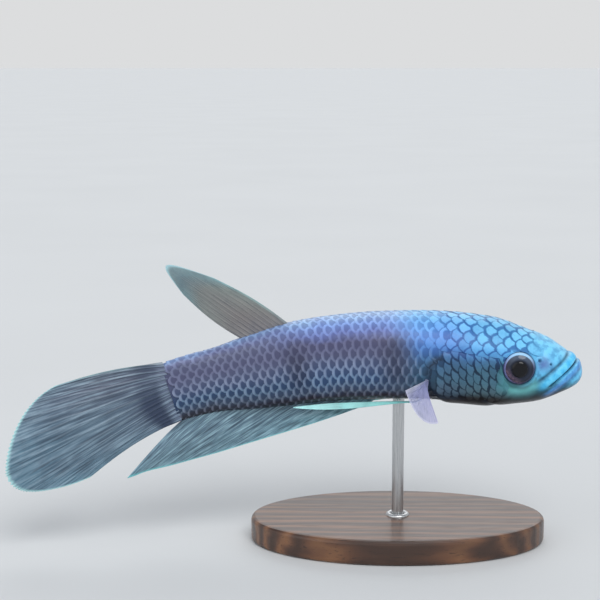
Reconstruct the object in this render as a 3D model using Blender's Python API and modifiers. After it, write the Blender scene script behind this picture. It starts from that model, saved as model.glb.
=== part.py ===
"""A mouthbrooding betta, life size, as a still display model on a plain stand.

Metres, +Z up. The head points to +X and the right flank faces -Y. The origin is the middle of the
stand's underside. The fish is described straight, by three distances: behind the chin, out from the
middle and up from the body's midline. It is then bent along its spine, and each piece is a solid.
"""

import math

import bmesh
import bpy
import numpy as np
from mathutils import Matrix, Vector

MM = 0.001
GAP = 0.3 * MM  # kept between neighbouring pieces

# Driving dimensions.
STANDARD_LENGTH = 84.0 * MM  # chin to the root of the tail fin
BODY_DEPTH = 18.0 * MM
BODY_WIDTH = 17.0 * MM  # across the gill covers, the widest place
MIDLINE_HEIGHT = 38.5 * MM  # of the spine over the table, above the stand's rod

# The body's outline: share of the standard length behind the chin, then the half depth and the half
# width there as shares of the deepest and the widest place.
BODY_STATIONS = (
    (0.000, 0.000, 0.000),  # chin
    (0.012, 0.275, 0.370),  # lips
    (0.050, 0.505, 0.640),  # corner of the mouth
    (0.100, 0.735, 0.790),  # nostrils
    (0.150, 0.840, 0.870),  # eye
    (0.235, 0.985, 0.965),  # cheek
    (0.330, 1.000, 1.000),  # gill cover
    (0.500, 0.995, 0.880),  # vent
    (0.620, 0.965, 0.740),  # middle of the anal fin
    (0.700, 0.945, 0.600),  # dorsal fin
    (0.800, 0.848, 0.450),  # tail stalk
    (0.900, 0.728, 0.310),
    (1.000, 0.715, 0.190),  # root of the tail fin
)
CHIN_DROP = 0.15 * MM  # of the chin's tip under the midline
CHIN_DROP_LENGTH = 3.0 * MM
THROAT_SAG = 0.45 * MM  # of the throat, under the plain outline
THROAT_START = (6.0 * MM, 16.0 * MM)
THROAT_END = (22.0 * MM, 34.0 * MM)
CHEEK_FULLNESS = 0.11  # how much wider the head is low on the cheek than at mid height
SECTION_POWER = 2.25  # 2 would be an ellipse, and more is squarer

# The pose: share of the standard length behind the chin, then how steeply the spine falls towards
# the tail there and how far it turns towards the right flank, both in degrees.
POSE_STATIONS = (
    (-0.10, -3.5, -3.0),
    (0.00, -3.5, -3.0),
    (0.18, -8.3, -2.5),
    (0.40, -0.3, -1.0),
    (0.60, 5.3, 2.0),
    (0.75, 11.5, 6.0),
    (0.88, 10.0, 9.5),
    (1.00, 17.0, 13.0),
    (1.45, 17.5, 17.0),
)

# Parting planes across the body, as shares of the standard length.
HEAD_END, FRONT_TRUNK_END, REAR_TRUNK_END = 0.362, 0.590, 0.830

# The head.
EYE_AT = (13.4 * MM, 0.45 * MM)  # behind the chin, up
EYE_RADIUS = 3.25 * MM
EYE_BULGE = 2.2 * MM  # half thickness of the eyeball, out from the head
EYE_DEPTH = 1.15 * MM  # of its middle under the cheek's surface
MOUTH_TOP = (1.2 * MM, 2.8 * MM)  # front of the cleft: behind the chin, up
MOUTH_SLANT = 44.0  # degrees that the cleft falls away behind its front
LIP_WIDTH = 1.9 * MM
GILL_COVER_AT = (25.0 * MM, -1.7 * MM)
GILL_COVER_SIZE = (5.1 * MM, 5.6 * MM)  # half length, half height
GILL_COVER_INNER = 4.4 * MM  # its inner face, out from the middle

# Fins. Each ray's fall or rise is an angle from level, in degrees.
FIN_EDGE = 0.55 * MM  # thickness at the rim
FIN_ROOT = 1.2 * MM  # thickness at the body
TAIL_FIN_ROOT = 2.0 * MM
TAIL_FIN_LENGTH = 35.4 * MM
TAIL_FIN_FALL = 25.0
TAIL_FIN_TOP = (19.6 * MM, 11.7 * MM, 1.50, 0.8 * MM)  # rim's turn in, half height, pointedness, bow
TAIL_FIN_LOW = (20.0 * MM, 7.9 * MM, 0.75, -0.8 * MM)
TAIL_FIN_WAVE = 0.8 * MM
DORSAL_ROOT = (58.8 * MM, 68.0 * MM)
DORSAL_RISE = (32.6, 37.8)  # of the first ray and of the last
DORSAL_LENGTH = (16.8 * MM, 14.2 * MM)
DORSAL_POINT = 7.4 * MM  # how much longer the middle rays are
DORSAL_BOW = (0.7 * MM, -0.7 * MM)
DORSAL_WAVE = 0.6 * MM
ANAL_ROOT = (42.3 * MM, 83.6 * MM)
ANAL_FALL = (31.0, 43.5)
ANAL_LENGTH = 19.8 * MM  # of the longest ray, ahead of the rear corner
ANAL_BOW = 0.6 * MM  # of the last ray, towards the tail
ANAL_WAVE = 0.7 * MM
PELVIC_ROOT, PELVIC_TIP = 31.0 * MM, 60.4 * MM
PELVIC_OUT = (2.9 * MM, 2.0 * MM)
PELVIC_WIDTH = 1.35 * MM
PELVIC_THICKNESS = 0.65 * MM
PECTORAL_AT = (31.8 * MM, -4.5 * MM)
PECTORAL_ROOT_HEIGHT = 1.8 * MM
PECTORAL_THICKNESS = 0.8 * MM
PECTORAL_RAYS = (  # the first ray, the middle one and the last: back, out and up
    (4.6 * MM, 8.6 * MM, -0.3 * MM),
    (1.6 * MM, 8.6 * MM, -4.8 * MM),
    (-2.2 * MM, 6.0 * MM, -5.6 * MM),
)

# The stand.
BASE_SIZE = (60.0 * MM, 36.0 * MM, 5.0 * MM)
BASE_BEVEL = 0.8 * MM
ROD_RADIUS = 1.2 * MM
ROD_AT = 0.440  # share of the standard length, where the rod meets the belly
ROD_DEPTH_IN_BODY = 5.0 * MM
ROD_DEPTH_IN_BASE = 3.5 * MM

BODY_RINGS, BODY_SIDES = 44, 28

COLOURS = {  # colour, roughness, metallic
    "flesh": ((0.16, 0.22, 0.30), 0.35, 0.1),
    "fin": ((0.14, 0.20, 0.26), 0.4, 0.0),
    "clear fin": ((0.55, 0.52, 0.66), 0.35, 0.0),
    "eye": ((0.03, 0.03, 0.05), 0.08, 0.0),
    "wood": ((0.10, 0.055, 0.032), 0.45, 0.0),
    "steel": ((0.62, 0.62, 0.62), 0.3, 1.0),
}


def smoothstep(x, low, high):
    t = min(1.0, max(0.0, (x - low) / (high - low)))
    return t * t * (3 - 2 * t)


def through(knots, values, x):
    """A smooth curve through the points, with no overshoot, at x."""
    steps = np.diff(knots)
    slopes = np.diff(values) / steps
    ends = np.zeros(len(knots))
    ends[0], ends[-1] = slopes[0], slopes[-1]
    for i in range(1, len(slopes)):
        if slopes[i - 1] * slopes[i] > 0:
            ends[i] = 2 * slopes[i - 1] * slopes[i] / (slopes[i - 1] + slopes[i])
    i = int(np.clip(np.searchsorted(knots, x) - 1, 0, len(steps) - 1))
    t = (x - knots[i]) / steps[i]
    rise = values[i + 1] - values[i]
    bend = steps[i] * (ends[i] * (1 - t) - ends[i + 1] * t)
    return values[i] + rise * t * t * (3 - 2 * t) + t * (1 - t) * bend


STATION_ROOTS = np.sqrt([row[0] for row in BODY_STATIONS])  # so that the chin comes out round
DEPTHS = np.array([row[1] for row in BODY_STATIONS]) * BODY_DEPTH / 2
WIDTHS = np.array([row[2] for row in BODY_STATIONS]) * BODY_WIDTH / 2


def half_depth(behind):
    return through(STATION_ROOTS, DEPTHS, math.sqrt(max(behind, 0) / STANDARD_LENGTH))


def half_width(behind):
    return through(STATION_ROOTS, WIDTHS, math.sqrt(max(behind, 0) / STANDARD_LENGTH))


def section(behind, turn):
    """Out and up on the body's surface, at an angle from the right flank, over the back, in radians."""
    across, rise = math.cos(turn), math.sin(turn)
    power = 2 / SECTION_POWER
    full = CHEEK_FULLNESS * (1 - smoothstep(behind, 20 * MM, 46 * MM))
    out = half_width(behind) * math.copysign(abs(across) ** power, across) * (1 - full * rise)
    up = half_depth(behind) * math.copysign(abs(rise) ** power, rise)
    drop = CHIN_DROP * max(0.0, 1 - behind / CHIN_DROP_LENGTH) ** 2
    throat = smoothstep(behind, *THROAT_START) * (1 - smoothstep(behind, *THROAT_END))
    return out, up - drop - THROAT_SAG * throat * min(0.0, rise) ** 2


class Spine:
    """The midline of the posed fish, as a table of places and directions every STEP behind the chin."""

    STEP = 0.5 * MM
    START, END = -6 * MM, 120 * MM

    def __init__(self):
        count = round((self.END - self.START) / self.STEP) + 1
        self.behind = self.START + self.STEP * np.arange(count)
        shares, falls, turns = np.array(POSE_STATIONS).T
        here = self.behind / STANDARD_LENGTH
        self.fall = np.radians([through(shares, falls, share) for share in here])
        self.turn = np.radians([through(shares, turns, share) for share in here])
        self.level = np.stack([-np.cos(self.turn), -np.sin(self.turn), 0 * self.turn], 1)
        upright = np.array([0, 0, 1])
        back = self.level * np.cos(self.fall)[:, None] - upright * np.sin(self.fall)[:, None]
        self.out = np.stack([np.sin(self.turn), -np.cos(self.turn), 0 * self.turn], 1)
        self.up = np.cross(back, self.out)
        self.back = back
        middles = (back[1:] + back[:-1]) / 2
        path = np.concatenate([np.zeros((1, 3)), np.cumsum(middles * self.STEP, 0)])
        held = np.array([np.interp(ROD_AT * STANDARD_LENGTH, self.behind, c) for c in path.T])
        self.path = path - held + np.array([0, 0, MIDLINE_HEIGHT])

    def at(self, table, behind):
        return Vector([np.interp(behind, self.behind, column) for column in table.T])

    def place(self, behind, out, up):
        """The posed point: out is towards the right flank, which faces -Y."""
        return (
            self.at(self.path, behind)
            + self.at(self.out, behind).normalized() * out
            + self.at(self.up, behind).normalized() * up
        )

    def ray(self, behind, out, up, angle, along, aside=0.0, above=0.0):
        """A point along a straight ray from a posed point. The angle rises from level, and aside and
        above are how far the point is off the ray."""
        level = self.at(self.level, behind).normalized()
        rise = math.radians(angle)
        outward = self.at(self.out, behind).normalized()
        return (
            self.place(behind, out, up)
            + level * (along * math.cos(rise) - above * math.sin(rise))
            + Vector((0, 0, 1)) * (along * math.sin(rise) + above * math.cos(rise))
            + outward * aside
        )


SPINE = Spine()


def material(name):
    made = bpy.data.materials.get(name)
    if made is None:
        made = bpy.data.materials.new(name)
        made.use_nodes = True
        colour, roughness, metallic = COLOURS[name]
        shader = made.node_tree.nodes["Principled BSDF"]
        shader.inputs["Base Color"].default_value = (*colour, 1)
        shader.inputs["Roughness"].default_value = roughness
        shader.inputs["Metallic"].default_value = metallic
    return made


def add(name, mesh_builder, material_name, collection):
    """An object made from a bmesh, in the collection."""
    mesh = bpy.data.meshes.new(name)
    mesh_builder.to_mesh(mesh)
    mesh_builder.free()
    mesh.shade_smooth()
    mesh.set_sharp_from_angle(angle=math.radians(40))
    made = bpy.data.objects.new(name, mesh)
    made.data.materials.append(material(material_name))
    collection.objects.link(made)
    return made


def face_outwards(mesh_builder):
    bmesh.ops.recalc_face_normals(mesh_builder, faces=mesh_builder.faces)
    if mesh_builder.calc_volume(signed=True) < 0:
        bmesh.ops.reverse_faces(mesh_builder, faces=mesh_builder.faces)


def whole_body():
    """The body in one piece: a sphere whose poles are the chin and the middle of the tail's root."""
    body = bmesh.new()
    bmesh.ops.create_uvsphere(body, u_segments=BODY_SIDES, v_segments=BODY_RINGS, radius=1)
    last_ring = 1 - 1 / BODY_RINGS
    for vert in body.verts:
        along = math.acos(max(-1.0, min(1.0, vert.co.z))) / math.pi
        behind = STANDARD_LENGTH * min(1.0, along / last_ring) ** 1.5
        if along < 1e-4:
            out, up = 0.0, -CHIN_DROP
        elif along > 1 - 1e-4:
            out, up = 0.0, 0.0
        else:
            out, up = section(behind, math.atan2(vert.co.y, vert.co.x))
        vert.co = SPINE.place(behind, out, up)
    face_outwards(body)
    return body


def cut_off(body, point, normal):
    """Removes what lies on the side that the normal points to, and closes the cut."""
    geometry = body.verts[:] + body.edges[:] + body.faces[:]
    cut = bmesh.ops.bisect_plane(
        body, geom=geometry, plane_co=point, plane_no=normal, clear_outer=True, dist=1e-7
    )
    rim = [item for item in cut["geom_cut"] if isinstance(item, bmesh.types.BMEdge)]
    bmesh.ops.triangle_fill(body, use_beauty=True, edges=rim, normal=normal)
    face_outwards(body)


def across_body(share):
    """A parting plane's point and its normal, which points to the tail."""
    behind = share * STANDARD_LENGTH
    return SPINE.at(SPINE.path, behind), SPINE.at(SPINE.back, behind).normalized()


def body_length(front, rear):
    """The body between two parting planes, where None is an end."""
    body = whole_body()
    if front is not None:
        point, back = across_body(front)
        cut_off(body, point + back * GAP / 2, -back)
    if rear is not None:
        point, back = across_body(rear)
        cut_off(body, point - back * GAP / 2, back)
    return body


def mouth_plane(shift):
    """A plane along the mouth's cleft, moved back by shift. Its normal points to the chin."""
    behind, up = MOUTH_TOP
    front = SPINE.place(behind, 0, up)
    tail = SPINE.at(SPINE.back, behind)
    rise = SPINE.at(SPINE.up, behind)
    slant = math.radians(MOUTH_SLANT)
    along = tail * math.cos(slant) - rise * math.sin(slant)
    out = SPINE.at(SPINE.out, behind)
    normal = out.cross(along).normalized()
    if normal.dot(tail) > 0:
        normal.negate()
    return front - normal * shift, normal


def boolean(target, operation, cutter):
    """Applies a Boolean with the cutter, which must be a closed mesh."""
    modifier = target.modifiers.new(operation.title(), "BOOLEAN")
    modifier.operation = operation
    modifier.object = cutter


def helper(name, mesh_builder, cutters):
    made = add(name, mesh_builder, "flesh", cutters)
    made.hide_render = True
    made.display_type = "WIRE"
    return made


def eye_shape(side, grow):
    """An eyeball, flattened sideways, on the side of the head: side is 1 for the right."""
    behind, up = EYE_AT
    surface = cheek_at(behind, up)
    eye = bmesh.new()
    bmesh.ops.create_uvsphere(eye, u_segments=20, v_segments=12, radius=1)
    for vert in eye.verts:
        along, rise, out = vert.co
        vert.co = SPINE.place(
            behind + along * (EYE_RADIUS + grow),
            side * (surface - EYE_DEPTH + out * (EYE_BULGE + grow)),
            up + rise * (EYE_RADIUS + grow),
        )
    face_outwards(eye)
    return eye


def cheek_at(behind, up):
    """How far out the body's surface is at this height, by halving the angle."""
    low, high = -math.pi / 2, math.pi / 2
    for _ in range(30):
        middle = (low + high) / 2
        if section(behind, middle)[1] < up:
            low = middle
        else:
            high = middle
    return section(behind, low)[0]


def gill_cover_block(side, grow):
    """An oval block over the side of the head, from the gill cover's inner face outwards."""
    behind, up = GILL_COVER_AT
    half_length, half_height = GILL_COVER_SIZE
    block = bmesh.new()
    bmesh.ops.create_cone(
        block, cap_ends=True, segments=32, radius1=1, radius2=1, depth=1
    )
    outside = BODY_WIDTH
    for vert in block.verts:
        inner = vert.co.z < 0
        vert.co = SPINE.place(
            behind + vert.co.x * (half_length + grow),
            side * (GILL_COVER_INNER - grow if inner else outside),
            up + vert.co.y * (half_height + grow),
        )
    face_outwards(block)
    return block


def head_pieces(fish, cutters):
    """The head, the jaws, the gill covers and the eyes."""
    head = body_length(None, HEAD_END)
    cut_off(head, *mouth_plane(LIP_WIDTH + GAP))
    head = add("head", head, "flesh", fish)

    upper = body_length(None, HEAD_END)
    cut_off(upper, *mouth_plane(GAP / 2))
    point, normal = mouth_plane(LIP_WIDTH)
    cut_off(upper, point, -normal)
    add("upper_jaw", upper, "flesh", fish)

    lower = body_length(None, HEAD_END)
    point, normal = mouth_plane(-GAP / 2)
    cut_off(lower, point, -normal)
    add("lower_jaw", lower, "flesh", fish)

    for name, side in (("right", 1), ("left", -1)):
        add(f"eye_{name}", eye_shape(side, 0), "eye", fish)
        socket = helper(f"socket_cutter_{name}", eye_shape(side, GAP), cutters)
        boolean(head, "DIFFERENCE", socket)

        cover = add(f"gill_cover_{name}", body_length(None, HEAD_END), "flesh", fish)
        block = helper(f"gill_cover_block_{name}", gill_cover_block(side, 0), cutters)
        boolean(cover, "INTERSECT", block)
        room = helper(f"gill_cover_room_{name}", gill_cover_block(side, GAP), cutters)
        boolean(head, "DIFFERENCE", room)


def trunk_pieces(fish, cutters):
    """The trunk in two lengths and the tail stalk. The front one has a blind hole for the rod."""
    front = add("trunk_front", body_length(HEAD_END, FRONT_TRUNK_END), "flesh", fish)
    hole = bmesh.new()
    deep = rod_top() + GAP
    length = deep - BASE_SIZE[2]
    bmesh.ops.create_cone(
        hole,
        cap_ends=True,
        segments=24,
        radius1=ROD_RADIUS + GAP,
        radius2=ROD_RADIUS + GAP,
        depth=length,
        matrix=Matrix.Translation((0, 0, deep - length / 2)),
    )
    boolean(front, "DIFFERENCE", helper("rod_hole_in_body", hole, cutters))
    add("trunk_rear", body_length(FRONT_TRUNK_END, REAR_TRUNK_END), "flesh", fish)
    add("tail_stalk", body_length(REAR_TRUNK_END, None), "flesh", fish)


def fin(name, columns, rows, shape, fish, material_name, root):
    """A fin as a thin solid. shape(t, v) is a point of its middle surface, with t from 0 to 1 along
    the root and v from 0 at the root to 1 at the rim."""
    sheet = bmesh.new()
    bmesh.ops.create_grid(sheet, x_segments=columns, y_segments=rows, size=1)
    sheet.verts.index_update()
    shares = []
    for vert in sheet.verts:
        t, v = (vert.co.x + 1) / 2, (vert.co.y + 1) / 2
        shares.append((FIN_EDGE + (root - FIN_EDGE) * (1 - v) ** 1.5) / root)
        vert.co = shape(t, v)
    made = add(name, sheet, material_name, fish)
    group = made.vertex_groups.new(name="thickness")
    for index, share in enumerate(shares):
        group.add([index], share, "REPLACE")
    solid = made.modifiers.new("Thickness", "SOLIDIFY")
    solid.thickness = root
    solid.offset = 0
    solid.vertex_group = "thickness"
    solid.use_even_offset = False


def mix(a, b, share):
    return a + (b - a) * share


def tail_fin(t, v):
    """A broad spade. Its rays spread from the tail's root, and the rim bends in to a low tip."""
    side = 2 * t - 1
    turn_in, half_height, power, bow = TAIL_FIN_TOP if side > 0 else TAIL_FIN_LOW
    angle = math.pi / 2 * abs(side) ** 0.8
    rim_along = turn_in + (TAIL_FIN_LENGTH - turn_in) * math.cos(angle)
    rim_up = math.copysign(half_height * math.sin(angle) ** power, side)
    root_up = side * half_depth(STANDARD_LENGTH)
    spread = bow * side * abs(side) * math.sin(math.pi * v)
    wave = TAIL_FIN_WAVE * v * v * math.sin(5 * side + 0.6)
    return SPINE.ray(
        STANDARD_LENGTH + 2 * GAP,
        0.0,
        root_up,
        -TAIL_FIN_FALL,
        v * rim_along,
        wave,
        v * (rim_up - root_up) + spread,
    )


def dorsal_fin(t, v):
    """A narrow swept blade: the middle rays are the longest and make its point."""
    root = mix(*DORSAL_ROOT, t)
    length = mix(*DORSAL_LENGTH, t) + DORSAL_POINT * math.sin(math.pi * t)
    bow = mix(*DORSAL_BOW, t) * math.sin(math.pi * v)
    wave = DORSAL_WAVE * v * math.sin(4 * t)
    up = half_depth(root) + GAP
    return SPINE.ray(root, 0.0, up, mix(*DORSAL_RISE, t), v * length, wave, bow)


def anal_fin(t, v):
    """A long fin that deepens from nothing to a pointed rear corner."""
    root = mix(*ANAL_ROOT, t)
    length = ANAL_LENGTH * math.sin(math.pi * (0.015 + 0.735 * t)) ** 0.72
    fall = mix(*ANAL_FALL, t**3.5)
    wave = ANAL_WAVE * v * v * math.sin(9 * t)
    bow = ANAL_BOW * t**10 * math.sin(math.pi * max(v, 0) ** 0.6)
    return SPINE.ray(root, 0.0, -half_depth(root) - GAP, -fall, v * length, wave, bow)


def under_belly(behind, out):
    """How far up the belly's surface is, at this distance out from the middle."""
    share = abs(out) / half_width(behind)
    return -half_depth(behind) * (1 - share**SECTION_POWER) ** (1 / SECTION_POWER)


def pelvic_fin(side):
    """A slender fin laid back along the belly, ending in its long first ray."""

    def shape(t, v):
        behind = mix(PELVIC_ROOT, PELVIC_TIP, v)
        width = PELVIC_WIDTH * (0.25 + 0.75 * math.sin(math.pi * v**1.6))
        out = side * mix(*PELVIC_OUT, v)
        up = under_belly(behind, out) - GAP * 1.5 - t * width
        return SPINE.place(behind, out, up)

    return shape


def pectoral_fin(side):
    """A rounded fan that stands out and down from behind the gill cover."""
    behind, up = PECTORAL_AT
    first, middle, last = (Vector(ray) for ray in PECTORAL_RAYS)

    def shape(t, v):
        root_up = up + (0.5 - t) * PECTORAL_ROOT_HEIGHT
        reach = first * (1 - t) * (1 - 2 * t) + middle * 4 * t * (1 - t) + last * t * (2 * t - 1)
        reach *= v
        out = cheek_at(behind, root_up) + GAP * 1.5 + reach.y
        return SPINE.place(behind, side * out, root_up + reach.z) + SPINE.at(
            SPINE.back, behind
        ).normalized() * reach.x

    return shape


def fins(fish):
    fin("tail_fin", 22, 10, tail_fin, fish, "fin", TAIL_FIN_ROOT)
    fin("dorsal_fin", 10, 10, dorsal_fin, fish, "fin", FIN_ROOT)
    fin("anal_fin", 24, 6, anal_fin, fish, "fin", FIN_ROOT)
    for name, side in (("right", 1), ("left", -1)):
        fin(f"pelvic_fin_{name}", 2, 16, pelvic_fin(side), fish, "fin", PELVIC_THICKNESS)
        fin(f"pectoral_fin_{name}", 12, 6, pectoral_fin(side), fish, "clear fin", PECTORAL_THICKNESS)


def rod_top():
    belly = MIDLINE_HEIGHT - half_depth(ROD_AT * STANDARD_LENGTH)
    return belly + ROD_DEPTH_IN_BODY


def stand(fish, cutters):
    """An oval wooden base with one steel rod, which is let into the base and into the belly."""
    length, width, height = BASE_SIZE
    base = bmesh.new()
    bmesh.ops.create_cone(
        base,
        cap_ends=True,
        segments=72,
        radius1=0.5,
        radius2=0.5,
        depth=1,
        matrix=Matrix.Translation((0, 0, height / 2)) @ Matrix.Diagonal((length, width, height, 1)),
    )
    base = add("stand_base", base, "wood", fish)
    round_off = base.modifiers.new("Rounded edges", "BEVEL")
    round_off.width = BASE_BEVEL
    round_off.segments = 3
    round_off.limit_method = "ANGLE"
    round_off.angle_limit = math.radians(60)

    def bar(radius, low, high):
        made = bmesh.new()
        bmesh.ops.create_cone(
            made,
            cap_ends=True,
            segments=24,
            radius1=radius,
            radius2=radius,
            depth=high - low,
            matrix=Matrix.Translation((0, 0, (low + high) / 2)),
        )
        return made

    foot = height - ROD_DEPTH_IN_BASE
    hole = helper("rod_hole_in_base", bar(ROD_RADIUS + GAP, foot - GAP, 2 * height), cutters)
    boolean(base, "DIFFERENCE", hole)
    add("stand_rod", bar(ROD_RADIUS, foot, rod_top()), "steel", fish)


def main():
    for old in list(bpy.data.objects):
        bpy.data.objects.remove(old)
    fish = bpy.data.collections.new("betta_fish")
    cutters = bpy.data.collections.new("cutters")
    for collection in (fish, cutters):
        bpy.context.scene.collection.children.link(collection)
    head_pieces(fish, cutters)
    trunk_pieces(fish, cutters)
    fins(fish)
    stand(fish, cutters)


main()
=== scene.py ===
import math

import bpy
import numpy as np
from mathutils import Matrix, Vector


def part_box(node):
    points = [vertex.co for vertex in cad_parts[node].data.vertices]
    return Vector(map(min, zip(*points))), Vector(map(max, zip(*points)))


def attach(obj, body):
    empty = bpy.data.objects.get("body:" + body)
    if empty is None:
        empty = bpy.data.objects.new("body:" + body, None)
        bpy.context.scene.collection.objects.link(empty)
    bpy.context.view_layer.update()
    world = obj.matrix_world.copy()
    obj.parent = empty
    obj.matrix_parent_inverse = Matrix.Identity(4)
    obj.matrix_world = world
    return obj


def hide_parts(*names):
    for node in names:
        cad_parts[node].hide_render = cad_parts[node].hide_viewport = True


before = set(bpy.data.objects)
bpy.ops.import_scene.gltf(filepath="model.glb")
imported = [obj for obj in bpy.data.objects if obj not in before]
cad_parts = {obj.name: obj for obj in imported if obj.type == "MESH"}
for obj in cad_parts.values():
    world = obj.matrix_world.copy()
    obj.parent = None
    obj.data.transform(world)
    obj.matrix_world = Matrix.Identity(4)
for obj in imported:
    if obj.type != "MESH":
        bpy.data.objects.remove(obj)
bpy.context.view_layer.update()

# The looks of a life-size mouthbrooding betta on a plain display stand: one skin with the head's
# folds, a coat of solid scales, rayed fins, domed eyes, and the stand's wood and steel.
# Metres, +Z up. The fish is described straight, by how far behind the chin, out towards the right
# flank (which faces -Y) and up from the midline a point is, and is then bent along its spine.

MM = 0.001

# The body, as the frame has it.
STANDARD_LENGTH = 84.0 * MM  # chin to the root of the tail fin
BODY_DEPTH = 18.0 * MM
BODY_WIDTH = 17.0 * MM
MIDLINE_HEIGHT = 38.5 * MM
BODY_STATIONS = (  # share of the length behind the chin, then shares of the half depth and half width
    (0.000, 0.000, 0.000),
    (0.012, 0.275, 0.370),
    (0.050, 0.505, 0.640),
    (0.100, 0.735, 0.790),
    (0.150, 0.840, 0.870),
    (0.235, 0.985, 0.965),
    (0.330, 1.000, 1.000),
    (0.500, 0.995, 0.880),
    (0.620, 0.965, 0.740),
    (0.700, 0.945, 0.600),
    (0.800, 0.848, 0.450),
    (0.900, 0.728, 0.310),
    (1.000, 0.715, 0.190),
)
CHIN_DROP = 0.15 * MM
CHIN_DROP_LENGTH = 3.0 * MM
THROAT_SAG = 0.45 * MM
THROAT_START = (6.0 * MM, 16.0 * MM)
THROAT_END = (22.0 * MM, 34.0 * MM)
CHEEK_FULLNESS = 0.11
SECTION_POWER = 2.25
POSE_STATIONS = (  # share behind the chin, then the spine's fall and its turn in degrees
    (-0.10, -3.5, -3.0),
    (0.00, -3.5, -3.0),
    (0.18, -8.3, -2.5),
    (0.40, -0.3, -1.0),
    (0.60, 5.3, 2.0),
    (0.75, 11.5, 6.0),
    (0.88, 10.0, 9.5),
    (1.00, 17.0, 13.0),
    (1.45, 17.5, 17.0),
)
ROD_AT = 0.440

# Skin and coat.
COAT_DEPTH = 0.30 * MM  # of the skin under the outline, which the scales fill
BARE_DEPTH = 0.04 * MM
SKIN_RINGS, SKIN_SIDES = 320, 280

# The head.
EYE_AT = (13.4 * MM, 0.45 * MM)  # behind the chin, up
EYE_RADIUS = 3.25 * MM
EYE_BULGE = 2.2 * MM
EYE_DEPTH = 1.15 * MM
MOUTH_TOP = (1.2 * MM, 2.8 * MM)
MOUTH_SLANT = math.radians(44.0)
MOUTH_LENGTH = 8.6 * MM
GILL_EDGE_AT = (23.0 * MM, -3.2 * MM)  # middle of the oval that the gill cover's free edge follows
GILL_EDGE_SIZE = (8.4 * MM, 6.6 * MM)
NOSTRILS = ((7.1 * MM, 1.9 * MM, 0.28 * MM), (9.4 * MM, 2.5 * MM, 0.36 * MM))  # behind, up, radius
NOSTRIL_PATCH = (8.5 * MM, 1.8 * MM)
VENT_AT = 41.2 * MM


def hexcolour(text):
    """An sRGB hex colour as linear red, green, blue and alpha."""
    channels = [int(text[i : i + 2], 16) / 255 for i in (1, 3, 5)]
    return [c / 12.92 if c <= 0.04045 else ((c + 0.055) / 1.055) ** 2.4 for c in channels] + [1.0]


def smoothstep(x, low, high):
    t = np.clip((x - low) / (high - low), 0, 1)
    return t * t * (3 - 2 * t)


def mix(a, b, share):
    return a + (b - a) * share


def bell(distance, width):
    """1 in the middle, and less the further away."""
    return np.exp(-((distance / width) ** 2))


def through(knots, values, x):
    """A smooth curve through the points, with no overshoot, at each x."""
    steps = np.diff(knots)
    slopes = np.diff(values) / steps
    ends = np.zeros(len(knots))
    ends[0], ends[-1] = slopes[0], slopes[-1]
    for i in range(1, len(slopes)):
        if slopes[i - 1] * slopes[i] > 0:
            ends[i] = 2 * slopes[i - 1] * slopes[i] / (slopes[i - 1] + slopes[i])
    i = np.clip(np.searchsorted(knots, x) - 1, 0, len(steps) - 1)
    t = (x - knots[i]) / steps[i]
    rise = values[i + 1] - values[i]
    bend = steps[i] * (ends[i] * (1 - t) - ends[i + 1] * t)
    return values[i] + rise * t * t * (3 - 2 * t) + t * (1 - t) * bend


STATION_ROOTS = np.sqrt([row[0] for row in BODY_STATIONS])
DEPTHS = np.array([row[1] for row in BODY_STATIONS]) * BODY_DEPTH / 2
WIDTHS = np.array([row[2] for row in BODY_STATIONS]) * BODY_WIDTH / 2


def half_depth(behind):
    return through(STATION_ROOTS, DEPTHS, np.sqrt(np.maximum(behind, 0) / STANDARD_LENGTH))


def half_width(behind):
    return through(STATION_ROOTS, WIDTHS, np.sqrt(np.maximum(behind, 0) / STANDARD_LENGTH))


def section(behind, turn):
    """Out and up on the outline, at an angle from the right flank, over the back."""
    across, rise = np.cos(turn), np.sin(turn)
    power = 2 / SECTION_POWER
    full = CHEEK_FULLNESS * (1 - smoothstep(behind, 20 * MM, 46 * MM))
    out = half_width(behind) * np.sign(across) * np.abs(across) ** power * (1 - full * rise)
    up = half_depth(behind) * np.sign(rise) * np.abs(rise) ** power
    drop = CHIN_DROP * np.maximum(0, 1 - behind / CHIN_DROP_LENGTH) ** 2
    throat = smoothstep(behind, *THROAT_START) * (1 - smoothstep(behind, *THROAT_END))
    return out, up - drop - THROAT_SAG * throat * np.minimum(0, rise) ** 2


def unit(vectors):
    return vectors / np.linalg.norm(vectors, axis=-1, keepdims=True)


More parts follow.
